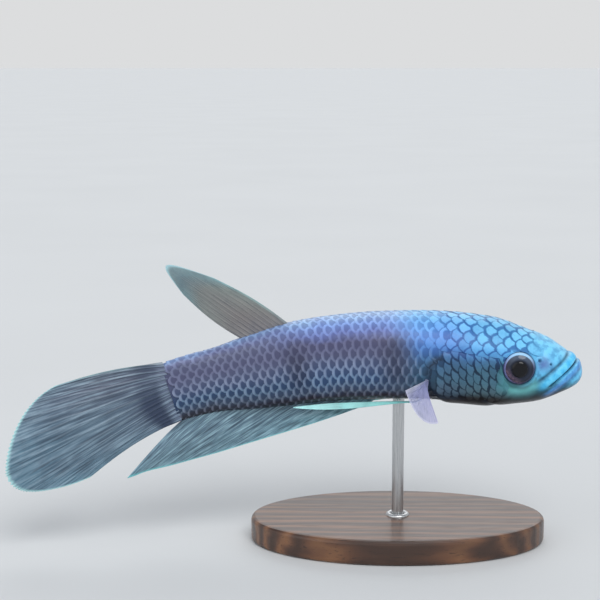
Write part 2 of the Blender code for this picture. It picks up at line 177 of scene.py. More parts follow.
class Spine:
    """The midline of the posed fish, as a table of places and directions behind the chin."""

    STEP = 0.5 * MM
    START, END = -6 * MM, 120 * MM

    def __init__(self):
        count = round((self.END - self.START) / self.STEP) + 1
        self.behind = self.START + self.STEP * np.arange(count)
        shares, falls, turns = np.array(POSE_STATIONS).T
        fall = np.radians(through(shares, falls, self.behind / STANDARD_LENGTH))
        turn = np.radians(through(shares, turns, self.behind / STANDARD_LENGTH))
        self.level = np.stack([-np.cos(turn), -np.sin(turn), 0 * turn], 1)
        self.out = np.stack([np.sin(turn), -np.cos(turn), 0 * turn], 1)
        upright = np.array([0, 0, 1])
        self.back = self.level * np.cos(fall)[:, None] - upright * np.sin(fall)[:, None]
        self.up = np.cross(self.back, self.out)
        middles = (self.back[1:] + self.back[:-1]) / 2
        path = np.concatenate([np.zeros((1, 3)), np.cumsum(middles * self.STEP, 0)])
        held = np.array([np.interp(ROD_AT * STANDARD_LENGTH, self.behind, c) for c in path.T])
        self.path = path - held + np.array([0, 0, MIDLINE_HEIGHT])

    def at(self, table, behind):
        return np.stack([np.interp(behind, self.behind, column) for column in table.T], -1)

    def place(self, behind, out, up):
        """The posed points."""
        behind, out, up = np.broadcast_arrays(behind, out, up)
        return (
            self.at(self.path, behind)
            + unit(self.at(self.out, behind)) * out[..., None]
            + unit(self.at(self.up, behind)) * up[..., None]
        )

    def ray(self, behind, up, angle, along, aside, above=0.0):
        """Points along straight rays from the midplane. The angle rises from level, in degrees."""
        behind, up, angle, along, aside, above = np.broadcast_arrays(
            behind, up, np.radians(angle), along, aside, above
        )
        level = unit(self.at(self.level, behind))
        flat = along * np.cos(angle) - above * np.sin(angle)
        rise = along * np.sin(angle) + above * np.cos(angle)
        return (
            self.place(behind, 0 * up, up)
            + level * flat[..., None]
            + np.array([0, 0, 1]) * rise[..., None]
            + unit(self.at(self.out, behind)) * aside[..., None]
        )


SPINE = Spine()


def straight(behind, turn, depth):
    """Points under the outline by a depth, in the straight fish: behind, out and up."""
    def on(b, t):
        out, up = section(b, t)
        return np.stack([np.broadcast_to(b, out.shape), out, up], -1)

    step, swing = 0.05 * MM, 0.01
    here = on(behind, turn)
    lengthwise = on(behind + step, turn) - on(np.maximum(behind - step, 0), turn)
    crosswise = on(behind, turn + swing) - on(behind, turn - swing)
    normal = np.cross(crosswise, lengthwise)
    size = np.linalg.norm(normal, axis=-1, keepdims=True)
    normal = np.where(size > 1e-16, normal / np.maximum(size, 1e-16), [-1.0, 0, 0])
    return here - normal * np.asarray(depth)[..., None]


class Wrap:
    """How far round the body each turn is, as lengths from the middle of the flank, and back again."""

    ALONG, QUARTER = 336, 180  # places along the fish, and steps round each quarter of it

    def __init__(self):
        self.behinds = np.linspace(0.5 * MM, STANDARD_LENGTH, self.ALONG)
        self.turns = np.linspace(-math.pi, math.pi, 4 * self.QUARTER + 1)
        out, up = section(self.behinds[:, None], self.turns[None, :])
        steps = np.hypot(np.diff(out, axis=1), np.diff(up, axis=1))
        arcs = np.concatenate([np.zeros((len(out), 1)), np.cumsum(steps, 1)], 1)
        self.arcs = arcs - arcs[:, [2 * self.QUARTER]]

    def row(self, behind):
        step = self.behinds[1] - self.behinds[0]
        return np.clip((behind - self.behinds[0]) / step, 0, self.ALONG - 1.001)

    def to_back(self, behind):
        """From the middle of the flank to the middle of the back."""
        return np.interp(behind, self.behinds, self.arcs[:, 3 * self.QUARTER])

    def to_belly(self, behind):
        """From the middle of the flank to the middle of the belly."""
        return -np.interp(behind, self.behinds, self.arcs[:, self.QUARTER])

    def turn(self, behind, arc):
        """The turn of points at these lengths round the body, from many places along it."""
        row = self.row(behind)
        low = row.astype(int)
        share = row - low
        turns = np.empty(len(behind))
        for i in np.unique(low):
            here = low == i
            a = np.interp(arc[here], self.arcs[i], self.turns)
            b = np.interp(arc[here], self.arcs[i + 1], self.turns)
            turns[here] = mix(a, b, share[here])
        return turns


WRAP = Wrap()


# ---- mesh helpers ----


def select_only(made):
    bpy.ops.object.select_all(action="DESELECT")
    made.select_set(True)
    bpy.context.view_layer.objects.active = made


def named(name):
    """The object that was just added, alone in the selection."""
    made = bpy.context.object
    made.name = name
    made.data.name = name
    select_only(made)
    return made


def corners(mesh):
    """The places of a mesh's vertices."""
    co = np.empty(len(mesh.vertices) * 3)
    mesh.vertices.foreach_get("co", co)
    return co.reshape(-1, 3)


def move_to(mesh, points):
    mesh.vertices.foreach_set("co", points.ravel())
    mesh.update()


def note(mesh, name, values):
    """Keeps three numbers for each vertex, which the materials read by name."""
    mesh.attributes.new(name, "FLOAT_VECTOR", "POINT").data.foreach_set("vector", values.ravel())


def face_outwards(made):
    """Turns every face outwards, on a closed mesh."""
    select_only(made)
    bpy.ops.object.mode_set(mode="EDIT")
    bpy.ops.mesh.select_all(action="SELECT")
    bpy.ops.mesh.normals_make_consistent(inside=False)
    bpy.ops.object.mode_set(mode="OBJECT")


def finish_piece(made, material, slot, *nodes, smooth=40):
    """Shades the piece, gives it its material and ties it to the frame."""
    select_only(made)
    bpy.ops.object.shade_smooth_by_angle(angle=math.radians(smooth))
    made.data.materials.clear()
    made.data.materials.append(material)
    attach(made, "root")
    if nodes:
        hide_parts(*nodes)
    return made


# ---- nodes ----

# Settings that many nodes share.
SMOOTH = {"interpolation_type": "SMOOTHSTEP"}
COLOURS = {"data_type": "RGBA"}
PLUS, MINUS, TIMES = ({"operation": name} for name in ("ADD", "SUBTRACT", "MULTIPLY"))
GRAIN = 0.55  # the roughness of every noise


def set_stops(elements, stops):
    """Gives a colour ramp its stops, each a place and a hex colour."""
    while len(elements) < len(stops):
        elements.new(0.5)
    for element, (place, _) in zip(elements, stops):
        element.position = place
    for element, (_, colour) in zip(elements, stops):
        element.color = hexcolour(colour)


def add_node(tree, kind, *inputs, out=None, stops=(), **settings):
    """Adds a node with its settings, and gives the inputs that it then shows their values or links,
    in order; None leaves one as it is. Returns its first output, or the one with the name given."""
    made = tree.nodes.new("ShaderNode" + kind)
    for key, value in settings.items():
        setattr(made, key, value)
    for socket, value in zip([socket for socket in made.inputs if socket.enabled], inputs):
        if isinstance(value, bpy.types.NodeSocket):
            tree.links.new(value, socket)
        elif value is not None:
            socket.default_value = value
    if stops:
        set_stops(made.color_ramp.elements, stops)
    return next(socket for socket in made.outputs if socket.enabled and out in (None, socket.name))


def notes_at(tree, name):
    """The three numbers that a mesh keeps for each point under a name."""
    vector = add_node(tree, "Attribute", out="Vector", attribute_name=name)
    return [add_node(tree, "SeparateXYZ", vector, out=axis) for axis in "XYZ"]


def length_of(tree, x, y):
    flat = add_node(tree, "CombineXYZ", x, y)
    return add_node(tree, "VectorMath", flat, operation="LENGTH")


def within(tree, value, rise, fall):
    """1 between a rise and a fall, each given as the values where it starts and ends, and else 0."""
    up = add_node(tree, "MapRange", value, *rise, 0.0, 1.0, **SMOOTH)
    down = add_node(tree, "MapRange", value, *fall, 1.0, 0.0, **SMOOTH)
    return add_node(tree, "Math", up, down, **TIMES)


def new_material(name, **uniform):
    """A material with one Principled shader, whose uniform values are set on its own sockets."""
    made = bpy.data.materials.new(name)
    made.use_nodes = True
    shader = made.node_tree.nodes["Principled BSDF"]
    for key, value in uniform.items():
        shader.inputs[key.replace("_", " ")].default_value = value
    return made, made.node_tree, shader


def connect(tree, shader, **sockets):
    for key, socket in sockets.items():
        tree.links.new(socket, shader.inputs[key.replace("_", " ")])


# ---- the fish's markings, which skin and scales share ----

# The dark spot at the root of each trunk scale: its middle, and its reach along and across the scale,
# in shares of the scale's half length and half height.
SPOT_MIDDLE, SPOT_LENGTH, SPOT_HEIGHT = 0.30, 0.36, 0.58
# Where the scales that cover a scale's root lie from it, in the same shares: ahead and aside.
COVERED_BY = ((0.51, 1.10), (1.02, 0.0))

# Colours from the belly at 0 to the back at 1, at five places along the fish, and the shares of the
# length where each place's colours start to show and are all that shows. They are partly the fish's
# own colours and partly painted light: darker towards the belly as painted shade, and brighter
# towards the back as painted light from above.
SNOUT_COLOURS = (
    (0.0, "#22262C"), (0.12, "#20343E"), (0.24, "#2A5564"), (0.36, "#549EBC"),
    (0.50, "#64C0EC"), (0.75, "#74CEF8"), (1.0, "#84D2F6"),
)
CHEEK_COLOURS = (
    (0.0, "#242224"), (0.10, "#34383A"), (0.18, "#52707C"), (0.30, "#466E82"), (0.45, "#3F677E"),
    (0.56, "#3E6C94"), (0.64, "#5296CE"), (0.70, "#60AEE6"), (0.78, "#6CC0F2"), (1.0, "#80CCF4"),
)
NAPE_COLOURS = (
    (0.0, "#242224"), (0.09, "#3C4450"), (0.18, "#566E84"), (0.30, "#4A6E86"), (0.45, "#42688A"),
    (0.56, "#4A76A6"), (0.66, "#5486C8"), (0.78, "#609AE6"), (0.88, "#74B2F2"), (1.0, "#86CCF8"),
)
SHOULDER_COLOURS = (
    (0.0, "#202026"), (0.09, "#413F4C"), (0.17, "#687990"), (0.30, "#6887A8"), (0.46, "#7181A0"),
    (0.60, "#666B89"), (0.74, "#5E6082"), (0.84, "#6F80BE"), (0.92, "#8CAAE6"), (1.0, "#A2C6EE"),
)
REAR_COLOURS = (
    (0.0, "#242831"), (0.09, "#404655"), (0.17, "#5A6B80"), (0.30, "#617C97"), (0.46, "#737F9B"),
    (0.68, "#666A88"), (0.86, "#686E8B"), (0.93, "#757EA5"), (1.0, "#8CA8D2"),
)
PLACES = (
    (0.10, 0.19, CHEEK_COLOURS),
    (0.24, 0.34, NAPE_COLOURS),
    (0.38, 0.48, SHOULDER_COLOURS),
    (0.60, 0.80, REAR_COLOURS),
)
SPOT_CONTRAST = (
    (0.0, "#303030"), (0.15, "#C0C0C0"), (0.30, "#FFFFFF"), (0.45, "#E0E0E0"),
    (0.60, "#7C7C7C"), (0.80, "#545454"), (1.0, "#303030"),
)
# Soft dark bars: share behind the chin, reach and depth.
BARS = ((0.452, 0.060, 0.75), (0.69, 0.048, 0.65))
# The bars' colour, and the colour of the painted shade along the gill cover's edge.
BAR_COLOUR, GILL_SHADE_COLOUR = "#3C4058", "#243850"
GILL_SHADE_OUT, GILL_SHADE_WIDTH = 1.05, (0.02, 0.12)  # in shares of the oval that it follows
WANDER_SIZE, MOTTLE_SIZE = 5 * MM, 1.3 * MM
PORE_SIZE, SCALE_GRAIN = 0.25 * MM, 0.6 * MM
SCALE_RINGS = 70.0  # the growth rings' phase from middle to edge: about 11 of them


def gill_edge_shade(tree, share, height):
    """Painted shade in a soft dark line along the gill cover's free edge."""
    behind, up = GILL_EDGE_AT
    length, rise = GILL_EDGE_SIZE
    reach = (STANDARD_LENGTH - behind) / length
    across = add_node(tree, "MapRange", share, behind / STANDARD_LENGTH, 1.0, 0.0, reach)
    above = add_node(tree, "Math", height, 0.5 + up / BODY_DEPTH, **MINUS)
    above = add_node(tree, "Math", above, BODY_DEPTH / rise, **TIMES)
    away = add_node(tree, "Math", length_of(tree, across, above), GILL_SHADE_OUT, **MINUS)
    away = add_node(tree, "Math", away, operation="ABSOLUTE")
    line = add_node(tree, "MapRange", away, *GILL_SHADE_WIDTH, 0.75, 0.0, **SMOOTH)
    low = add_node(tree, "MapRange", height, 0.52, 0.62, 1.0, 0.0, **SMOOTH)
    rear = add_node(tree, "MapRange", share, 0.28, 0.33, 0.0, 1.0, **SMOOTH)
    line = add_node(tree, "Math", line, low, **TIMES)
    return add_node(tree, "Math", line, rear, **TIMES)


def light_colour(tree, share, height):
    """The colour of the light parts, from belly to back and from snout to tail, with the bars and
    the painted shade along the gill cover's edge.
    """
    # The ramps from belly to back carry painted shade towards the belly and painted light towards the
    # back, besides the fish's own colours.
    light = add_node(tree, "ValToRGB", height, stops=SNOUT_COLOURS)
    for start, end, stops in PLACES:
        blend = add_node(tree, "MapRange", share, start, end, 0.0, 1.0, **SMOOTH)
        there = add_node(tree, "ValToRGB", height, stops=stops)
        light = add_node(tree, "Mix", blend, light, there, **COLOURS)
    middle = within(tree, height, (0.12, 0.35), (0.60, 0.85))
    for at, reach, depth in BARS:
        away = add_node(tree, "Math", share, at, **MINUS)
        away = add_node(tree, "Math", away, operation="ABSOLUTE")
        bar = add_node(tree, "MapRange", away, 0.0, reach, depth, 0.0, **SMOOTH)
        bar = add_node(tree, "Math", bar, middle, **TIMES)
        light = add_node(tree, "Mix", bar, light, hexcolour(BAR_COLOUR), **COLOURS)
    # Painted shade along the gill cover's free edge, on skin and scales alike.
    line = gill_edge_shade(tree, share, height)
    return add_node(tree, "Mix", line, light, hexcolour(GILL_SHADE_COLOUR), **COLOURS)


def dark_colour(tree, share, height, light):
    """The colour of the spots and the gaps: the light colour through a tint, faint on the shoulder."""
    contrast = add_node(tree, "ValToRGB", height, stops=SPOT_CONTRAST)
    tint = add_node(tree, "Mix", contrast, hexcolour("#C8C6D0"), hexcolour("#7688A4"), **COLOURS)
    above = add_node(tree, "MapRange", height, 0.50, 0.62, 0.0, 1.0, **SMOOTH)
    head = add_node(tree, "Mix", above, hexcolour("#66788A"), hexcolour("#8098B8"), **COLOURS)
    trunk = add_node(tree, "MapRange", share, 0.36, 0.44, 0.0, 1.0, **SMOOTH)
    tint = add_node(tree, "Mix", trunk, head, tint, **COLOURS)
    dark = add_node(tree, "Mix", 1.0, light, tint, data_type="RGBA", blend_type="MULTIPLY")
    shoulder = within(tree, share, (0.32, 0.36), (0.43, 0.50))
    shoulder = add_node(tree, "Math", shoulder, 0.3, **TIMES)
    return add_node(tree, "Mix", shoulder, dark, light, **COLOURS)


def markings(tree):
    """The light, the dark and the mottled colour of the place that a point has on the fish."""
    share, height, _ = notes_at(tree, "fish_place")
    place = add_node(tree, "TexCoord", out="Object")
    wander = add_node(tree, "TexNoise", place, 1 / WANDER_SIZE, 2.0, GRAIN)
    wander = add_node(tree, "MapRange", wander, 0.3, 0.7, -0.03, 0.03)
    height = add_node(tree, "Math", height, wander, **PLUS)
    paler_chin = add_node(tree, "MapRange", share, 0.0, 0.08, 0.27, 0.0, **SMOOTH)
    height = add_node(tree, "Math", height, paler_chin, **PLUS)
    light = light_colour(tree, share, height)
    dark = dark_colour(tree, share, height, light)
    mottle = add_node(tree, "TexNoise", place, 1 / MOTTLE_SIZE, 2.0, GRAIN)
    mottle = add_node(tree, "MapRange", mottle, 0.30, 0.62, 0.45, 1.0, **SMOOTH)
    mottled = add_node(tree, "Mix", mottle, dark, light, **COLOURS)
    return light, dark, mottled


def beyond(tree, along, across, ahead=0.0, aside=0.0):
    """How far a point of a scale is from the middle of one that lies this far ahead and aside, in
    shares of a scale's half size: under 1 where that one covers it."""
    x = add_node(tree, "Math", along, ahead, **PLUS)
    y = add_node(tree, "Math", across, operation="ABSOLUTE")
    y = add_node(tree, "Math", y, aside, **MINUS)
    return length_of(tree, x, y)


def skin_material():
    """Cast resin, painted and lacquered: smooth and wet-looking on the lips, with fine pores, and dark
    where it shows between the scales; painted shade darkens the mouth's cleft, the folds by the lips,
    the nostrils, the cheek's groove and the edges of the eye and the gill cover."""
    made, tree, shader = new_material(
        "Lacquered cast resin skin",
        Coat_Weight=0.15, Coat_Roughness=0.18, Coat_IOR=1.35, Specular_IOR_Level=0.2,
    )
    _, dark, mottled = markings(tree)
    place = add_node(tree, "TexCoord", out="Object")
    bare, jaw, teal = notes_at(tree, "bare_jaw_teal")
    lip, painted_shade, nostril = notes_at(tree, "lip_painted_shade_nostril")
    share, _, _ = notes_at(tree, "fish_place")
    mottle = add_node(tree, "TexNoise", place, 1 / MOTTLE_SIZE, 2.0, GRAIN)
    mottle = add_node(tree, "MapRange", mottle, 0.3, 0.7, 0.0, 1.0, **SMOOTH)
    snout = add_node(tree, "MapRange", share, 0.12, 0.15, 1.0, 0.0, **SMOOTH)
    bare = add_node(tree, "Math", bare, snout, operation="MAXIMUM")
    colour = add_node(tree, "Mix", bare, dark, mottled, **COLOURS)
    lip_paint = add_node(tree, "Mix", mottle, hexcolour("#43B4EA"), hexcolour("#6CD2FA"), **COLOURS)
    jaw_paint = add_node(tree, "Mix", mottle, hexcolour("#3F7EC2"), hexcolour("#5FA6EA"), **COLOURS)
    # The dark blue last of these is painted shade in the mouth's cleft, the folds, the nostrils, the
    # cheek's groove and along the eye's and the gill cover's edges.
    for part, strength, paint in (
        (teal, 0.62, hexcolour("#6FBFC0")),
        (nostril, 0.75, hexcolour("#5C6CA8")),
        (jaw, 0.85, jaw_paint),
        (lip, 0.9, lip_paint),
        (painted_shade, 1.0, hexcolour("#12283E")),
    ):
        part = add_node(tree, "Math", part, strength, **TIMES)
        colour = add_node(tree, "Mix", part, colour, paint, **COLOURS)
    pores = add_node(tree, "TexNoise", place, 1 / PORE_SIZE, 4.0, GRAIN)
    rough = add_node(tree, "MapRange", pores, 0.3, 0.7, 0.30, 0.46)
    bump = add_node(tree, "Bump", 0.2, 0.04 * MM, None, pores)
    connect(tree, shader, Base_Color=colour, Roughness=rough, Normal=bump)
    return made


def trunk_lightness(tree, along, across):
    """0 on a trunk scale's dark spot, which is a rounded oblong, and 1 round it."""
    x = add_node(tree, "Math", along, SPOT_MIDDLE, **MINUS)
    x = add_node(tree, "Math", x, SPOT_LENGTH, operation="DIVIDE")
    y = add_node(tree, "Math", across, SPOT_HEIGHT, operation="DIVIDE")
    x, y = (add_node(tree, "Math", away, operation="ABSOLUTE") for away in (x, y))
    x, y = (add_node(tree, "Math", away, 2.6, operation="POWER") for away in (x, y))
    away = add_node(tree, "Math", x, y, **PLUS)
    return add_node(tree, "MapRange", away, 0.45, 1.45, 0.0, 1.0, **SMOOTH)


def plate_lightness(tree, along, across, height, kind, grain):
    """1 on the part of a head scale that shows, and 0 along its outline."""
    inside = add_node(tree, "Math", 1.0, beyond(tree, along, across), **MINUS)
    for ahead, aside in COVERED_BY:
        cover = add_node(tree, "Math", beyond(tree, along, across, ahead, aside), 1.0, **MINUS)
        inside = add_node(tree, "Math", inside, cover, operation="MINIMUM")
    ragged = add_node(tree, "MapRange", grain, 0.2, 0.8, -0.05, 0.05)
    inside = add_node(tree, "Math", inside, ragged, **PLUS)
    front = add_node(tree, "MapRange", along, -0.30, -0.12, 0.2, -0.2, **SMOOTH)
    inside = add_node(tree, "Math", inside, front, operation="MAXIMUM")
    plate = add_node(tree, "MapRange", inside, 0.02, 0.16, 0.0, 1.0, **SMOOTH)

    # The lowest plates over the cheek have no neighbour below and ahead, so there they stay pale.
    neighbour = beyond(tree, along, across, *COVERED_BY[0])
    pale = add_node(tree, "MapRange", neighbour, 0.86, 0.98, 1.0, 0.0, **SMOOTH)
    for value, start, end, most in (
        (across, -0.2, 0.0, 1.0),
        (height, 0.70, 0.76, 1.0),
        (kind, 1.0, 2.0, 0.9),
    ):
        fade = add_node(tree, "MapRange", value, start, end, most, 0.0, **SMOOTH)
        pale = add_node(tree, "Math", pale, fade, **TIMES)
    return add_node(tree, "Math", plate, pale, operation="MAXIMUM")


def scale_material():
    """Cast resin scales, painted, under a pearly lacquer: a dark spot at the root of each trunk scale
    and behind it a pale streak of painted silvery sheen, stronger towards the back; on the head, pale
    plates with dark outlines. The growth rings are drawn about twice as coarse as real ones, so that
    they show."""
    made, tree, shader = new_material(
        "Pearl lacquered resin scales",
        Coat_Weight=0.15, Coat_Roughness=0.2, Coat_IOR=1.35, Specular_IOR_Level=0.25,
    )
    light, dark, mottled = markings(tree)
    along, across, tone = notes_at(tree, "on_scale")
    share, height, kind = notes_at(tree, "fish_place")
    place = add_node(tree, "TexCoord", out="Object")
    grain = add_node(tree, "TexNoise", place, 1 / SCALE_GRAIN, 2.0, GRAIN)
    trunk = trunk_lightness(tree, along, across)
    plate = plate_lightness(tree, along, across, height, kind, grain)
    lightness = add_node(tree, "Mix", kind, trunk, plate)
    patchy = add_node(tree, "MapRange", grain, 0.2, 0.6, 0.8, 1.0, **SMOOTH)
    own = add_node(tree, "MapRange", tone, 0.0, 1.0, 0.72, 1.0, **SMOOTH)
    lightness = add_node(tree, "Math", lightness, patchy, **TIMES)
    lightness = add_node(tree, "Math", lightness, own, **TIMES)
    colour = add_node(tree, "Mix", lightness, dark, light, **COLOURS)

    # Behind the gill cover nothing lies over the first scales' fronts, so they are dark like the skin.
    first = within(tree, share, (0.31, 0.33), (0.40, 0.42))
    for value, start, end in ((along, -0.30, -0.05), (height, 0.66, 0.72)):
        fade = add_node(tree, "MapRange", value, start, end, 1.0, 0.0, **SMOOTH)
        first = add_node(tree, "Math", first, fade, **TIMES)
    colour = add_node(tree, "Mix", first, colour, dark, **COLOURS)

    # Painted silvery sheen: a pale streak along the rear of each trunk scale, stronger towards the
    # back.
    streak = add_node(tree, "MapRange", along, 0.62, 0.85, 0.0, 1.0, **SMOOTH)
    sideways = add_node(tree, "Math", across, operation="ABSOLUTE")
    for value, start, end, most, least in (
        (kind, 0.0, 0.5, 0.18, 0.0),
        (sideways, 0.30, 0.65, 1.0, 0.0),
        (height, 0.45, 0.65, 1.0, 0.3),
    ):
        fade = add_node(tree, "MapRange", value, start, end, most, least, **SMOOTH)
        streak = add_node(tree, "Math", streak, fade, **TIMES)
    colour = add_node(tree, "Mix", streak, colour, hexcolour("#B4BEDC"), **COLOURS)
    brow = add_node(tree, "MapRange", share, 0.115, 0.155, 1.0, 0.0, **SMOOTH)
    colour = add_node(tree, "Mix", brow, colour, mottled, **COLOURS)

    under_eye = add_node(tree, "MapRange", share, 0.188, 0.212, 0.8, 0.0, **SMOOTH)
    for value, start, end in ((kind, 1.0, 2.0), (height, 0.13, 0.30)):
        fade = add_node(tree, "MapRange", value, start, end, 0.0, 1.0, **SMOOTH)
        under_eye = add_node(tree, "Math", under_eye, fade, **TIMES)
    colour = add_node(tree, "Mix", under_eye, colour, hexcolour("#4F929C"), **COLOURS)
    rough = add_node(tree, "MapRange", grain, 0.3, 0.7, 0.32, 0.48)
    rings = add_node(tree, "Math", beyond(tree, along, across), SCALE_RINGS, **TIMES)
    rings = add_node(tree, "Math", rings, operation="SINE")
    bump = add_node(tree, "Bump", 0.12, 0.02 * MM, None, rings)
    connect(tree, shader, Base_Color=colour, Roughness=rough, Normal=bump)
    return made


# ---- the skin ----

# Folds and lips lie along the mouth's cleft: how far above it, half width and height of each.
CLEFT = (0.0, 0.20 * MM, -0.85 * MM)
UPPER_LIP = (1.00 * MM, 0.80 * MM, 0.20 * MM)
LOWER_LIP = (-0.80 * MM, 0.60 * MM, 0.14 * MM)
UPPER_FOLD = (2.25 * MM, 0.34 * MM, -0.36 * MM)
LOWER_FOLD = (-1.75 * MM, 0.40 * MM, -0.12 * MM)
# Rings round the eye: how far outside its rim, half width and height.
EYE_SOCKET = 1.8 * MM
EYE_RIM = (0.35 * MM, 0.30 * MM, 0.16 * MM)
EYE_GROOVE = (1.15 * MM, 0.40 * MM, -0.12 * MM)
# The groove that curves round the cheek: its middle, radius, half width and depth.
CHEEK_GROOVE_AT = (14.5 * MM, -0.5 * MM)
CHEEK_GROOVE = (8.3 * MM, 0.45 * MM, -0.16 * MM)
GILL_RIM, GILL_STEP = 0.12 * MM, 0.42 * MM
NOSTRIL_DEPTH, NOSTRIL_RIM = 0.4 * MM, 0.12 * MM
VENT_RADIUS, VENT_DEPTH = 0.5 * MM, 0.35 * MM


def mouth_coordinates(behind, up):
    """How far above the mouth's cleft a point of the side view is, and how far back along it."""
    back, rise = behind - MOUTH_TOP[0], up - MOUTH_TOP[1]
    above = back * math.sin(MOUTH_SLANT) + rise * math.cos(MOUTH_SLANT)
    along = back * math.cos(MOUTH_SLANT) - rise * math.sin(MOUTH_SLANT)
    return above, along


def gill_edge_distance(behind, up):
    """How far outside the gill cover's free edge a point of the side view is."""
    across = (behind - GILL_EDGE_AT[0]) / GILL_EDGE_SIZE[0]
    rise = (up - GILL_EDGE_AT[1]) / GILL_EDGE_SIZE[1]
    return (np.hypot(across, rise) - 1) * min(GILL_EDGE_SIZE)


def eye_distance(behind, up):
    return np.hypot(behind - EYE_AT[0], up - EYE_AT[1])


def mouth_relief(behind, out, up):
    """The lips, the cleft between them and the folds that frame them, and how much each point is in
    shade, on the upper lip and on the lower jaw."""
    above, along = mouth_coordinates(behind, up)
    corner = 1 - smoothstep(along, MOUTH_LENGTH - 1.6 * MM, MOUTH_LENGTH + 0.2 * MM)
    lips = 1 - smoothstep(along, MOUTH_LENGTH - 0.5 * MM, MOUTH_LENGTH + 2.0 * MM)
    aside = smoothstep(np.abs(out), 0.4 * MM, 2.6 * MM)  # the folds fade out over the snout's middle
    cleft, upper, lower, upper_fold, lower_fold = (
        bell(above - place, width) * strength
        for (place, width, _), strength in (
            (CLEFT, corner),
            (UPPER_LIP, lips),
            (LOWER_LIP, lips),
            (UPPER_FOLD, lips * mix(0.35, 1.0, aside)),
            (LOWER_FOLD, lips * aside),
        )
    )
    relief = CLEFT[2] * cleft + UPPER_LIP[2] * upper + LOWER_LIP[2] * lower
    relief += UPPER_FOLD[2] * upper_fold + LOWER_FOLD[2] * lower_fold
    cleft_shade = cleft * mix(1.0, 0.45, smoothstep(along, 2.4 * MM, 5.0 * MM))
    shade = np.clip(cleft_shade + 0.72 * upper_fold + 0.30 * lower_fold, 0, 1)
    jaw = smoothstep(-above, 0.2 * MM, 0.8 * MM) * (1 - smoothstep(-above, 1.2 * MM, 2.4 * MM)) * lips
    return relief, shade, np.clip(1.15 * upper, 0, 1), jaw


def gill_edge_relief(behind, up):
    """The gill cover's raised rear rim, the drop from it to the shoulder, and the shade there."""
    outside = gill_edge_distance(behind, up)
    low = (1 - smoothstep(up, 0.4 * MM, 2.8 * MM)) * smoothstep(behind, 23 * MM, 27 * MM)
    drop = smoothstep(outside, -0.05 * MM, 0.25 * MM) * np.exp(-np.maximum(outside, 0) / (1.5 * MM))
    rim = bell(outside + 0.4 * MM, 0.5 * MM)
    return low * (GILL_RIM * rim - GILL_STEP * drop), 0.6 * low * bell(outside - 0.2 * MM, 0.30 * MM)


def eye_relief(behind, up):
    """The eye's socket, the rim and the groove round it, and the shade along its edge."""
    outside = eye_distance(behind, up) - EYE_RADIUS
    relief = -EYE_SOCKET * (1 - smoothstep(outside, -0.45 * MM, 0.02 * MM))
    for away, width, height in (EYE_RIM, EYE_GROOVE):
        relief += height * bell(outside - away, width)
    return relief, 0.55 * bell(outside, 0.14 * MM)


def nostril_relief(behind, up):
    """Two small pits with a raised rim, and the shade in them."""
    relief = pits = 0 * behind
    for pit_behind, pit_up, radius in NOSTRILS:
        away = np.hypot(behind - pit_behind, up - pit_up)
        pits = np.maximum(pits, 1 - smoothstep(away, 0.5 * radius, 1.1 * radius))
        relief = relief + NOSTRIL_RIM * bell(away - 1.35 * radius, 0.5 * radius)
    return relief - NOSTRIL_DEPTH * pits, 0.6 * pits


def cheek_relief(behind, up):
    """The groove that curves down the cheek behind the eye, and the shade in it."""
    radius, width, height = CHEEK_GROOVE
    away = np.hypot(behind - CHEEK_GROOVE_AT[0], up - CHEEK_GROOVE_AT[1]) - radius
    groove = bell(away, width) * smoothstep(behind, 12 * MM, 15 * MM)
    groove = groove * (1 - smoothstep(up, 0.5 * MM, 2.0 * MM))
    return height * groove, 0.35 * groove


def head_relief(behind, out, up):
    """How far the skin stands out from its plain surface, and the notes for its paint."""
    relief, shade, lip, jaw = mouth_relief(behind, out, up)
    eye, eye_shade = eye_relief(behind, up)
    nostrils, nostril_shade = nostril_relief(behind, up)
    cheek, cheek_shade = cheek_relief(behind, up)
    gill_edge, gill_shade = gill_edge_relief(behind, up)
    vent = bell(np.hypot(behind - VENT_AT, out), VENT_RADIUS) * (up < 0)
    relief = relief + eye + nostrils + cheek + gill_edge - VENT_DEPTH * vent
    for other in (eye_shade, np.clip(nostril_shade + cheek_shade, 0, 1), gill_shade):
        shade = np.maximum(shade, other)
    patch = bell(np.hypot(behind - NOSTRIL_PATCH[0], (up - NOSTRIL_PATCH[1]) * 1.2), 1.7 * MM)
    under = smoothstep(behind - up, 10 * MM, 12 * MM)  # the front and lower side of the eye
    below = 1 - smoothstep(up, -0.5 * MM, 1.2 * MM)
    teal = bell(eye_distance(behind, up) - EYE_RADIUS - 1.4 * MM, 1.1 * MM) * below * under
    return relief, shade, lip, jaw, patch, teal


def fish_notes(mesh, behind, up, kind):
    """Where each vertex is on the fish, as shares behind the chin and from belly to back, and its
    kind of scale: 0 on the trunk, 1 on the nape and 2 on the cheek."""
    height = 0.5 + 0.5 * np.clip(up / np.maximum(half_depth(behind), 1 * MM), -1, 1)
    note(mesh, "fish_place", np.stack([behind / STANDARD_LENGTH, height, kind], 1))


def coat_cover(behind, up):
    """1 where scales lie on the skin, 0 where it is bare: the snout, the jaws and the throat."""
    snout = smoothstep(behind, 7.6 * MM, 9.8 * MM)
    throat = (1 - smoothstep(up, -7.9 * MM, -6.9 * MM)) * (1 - smoothstep(behind, 28 * MM, 33 * MM))
    above, _ = mouth_coordinates(behind, up)
    jaws = 1 - smoothstep(above, 3.2 * MM, 4.2 * MM)
    return snout * (1 - throat) * (1 - jaws)


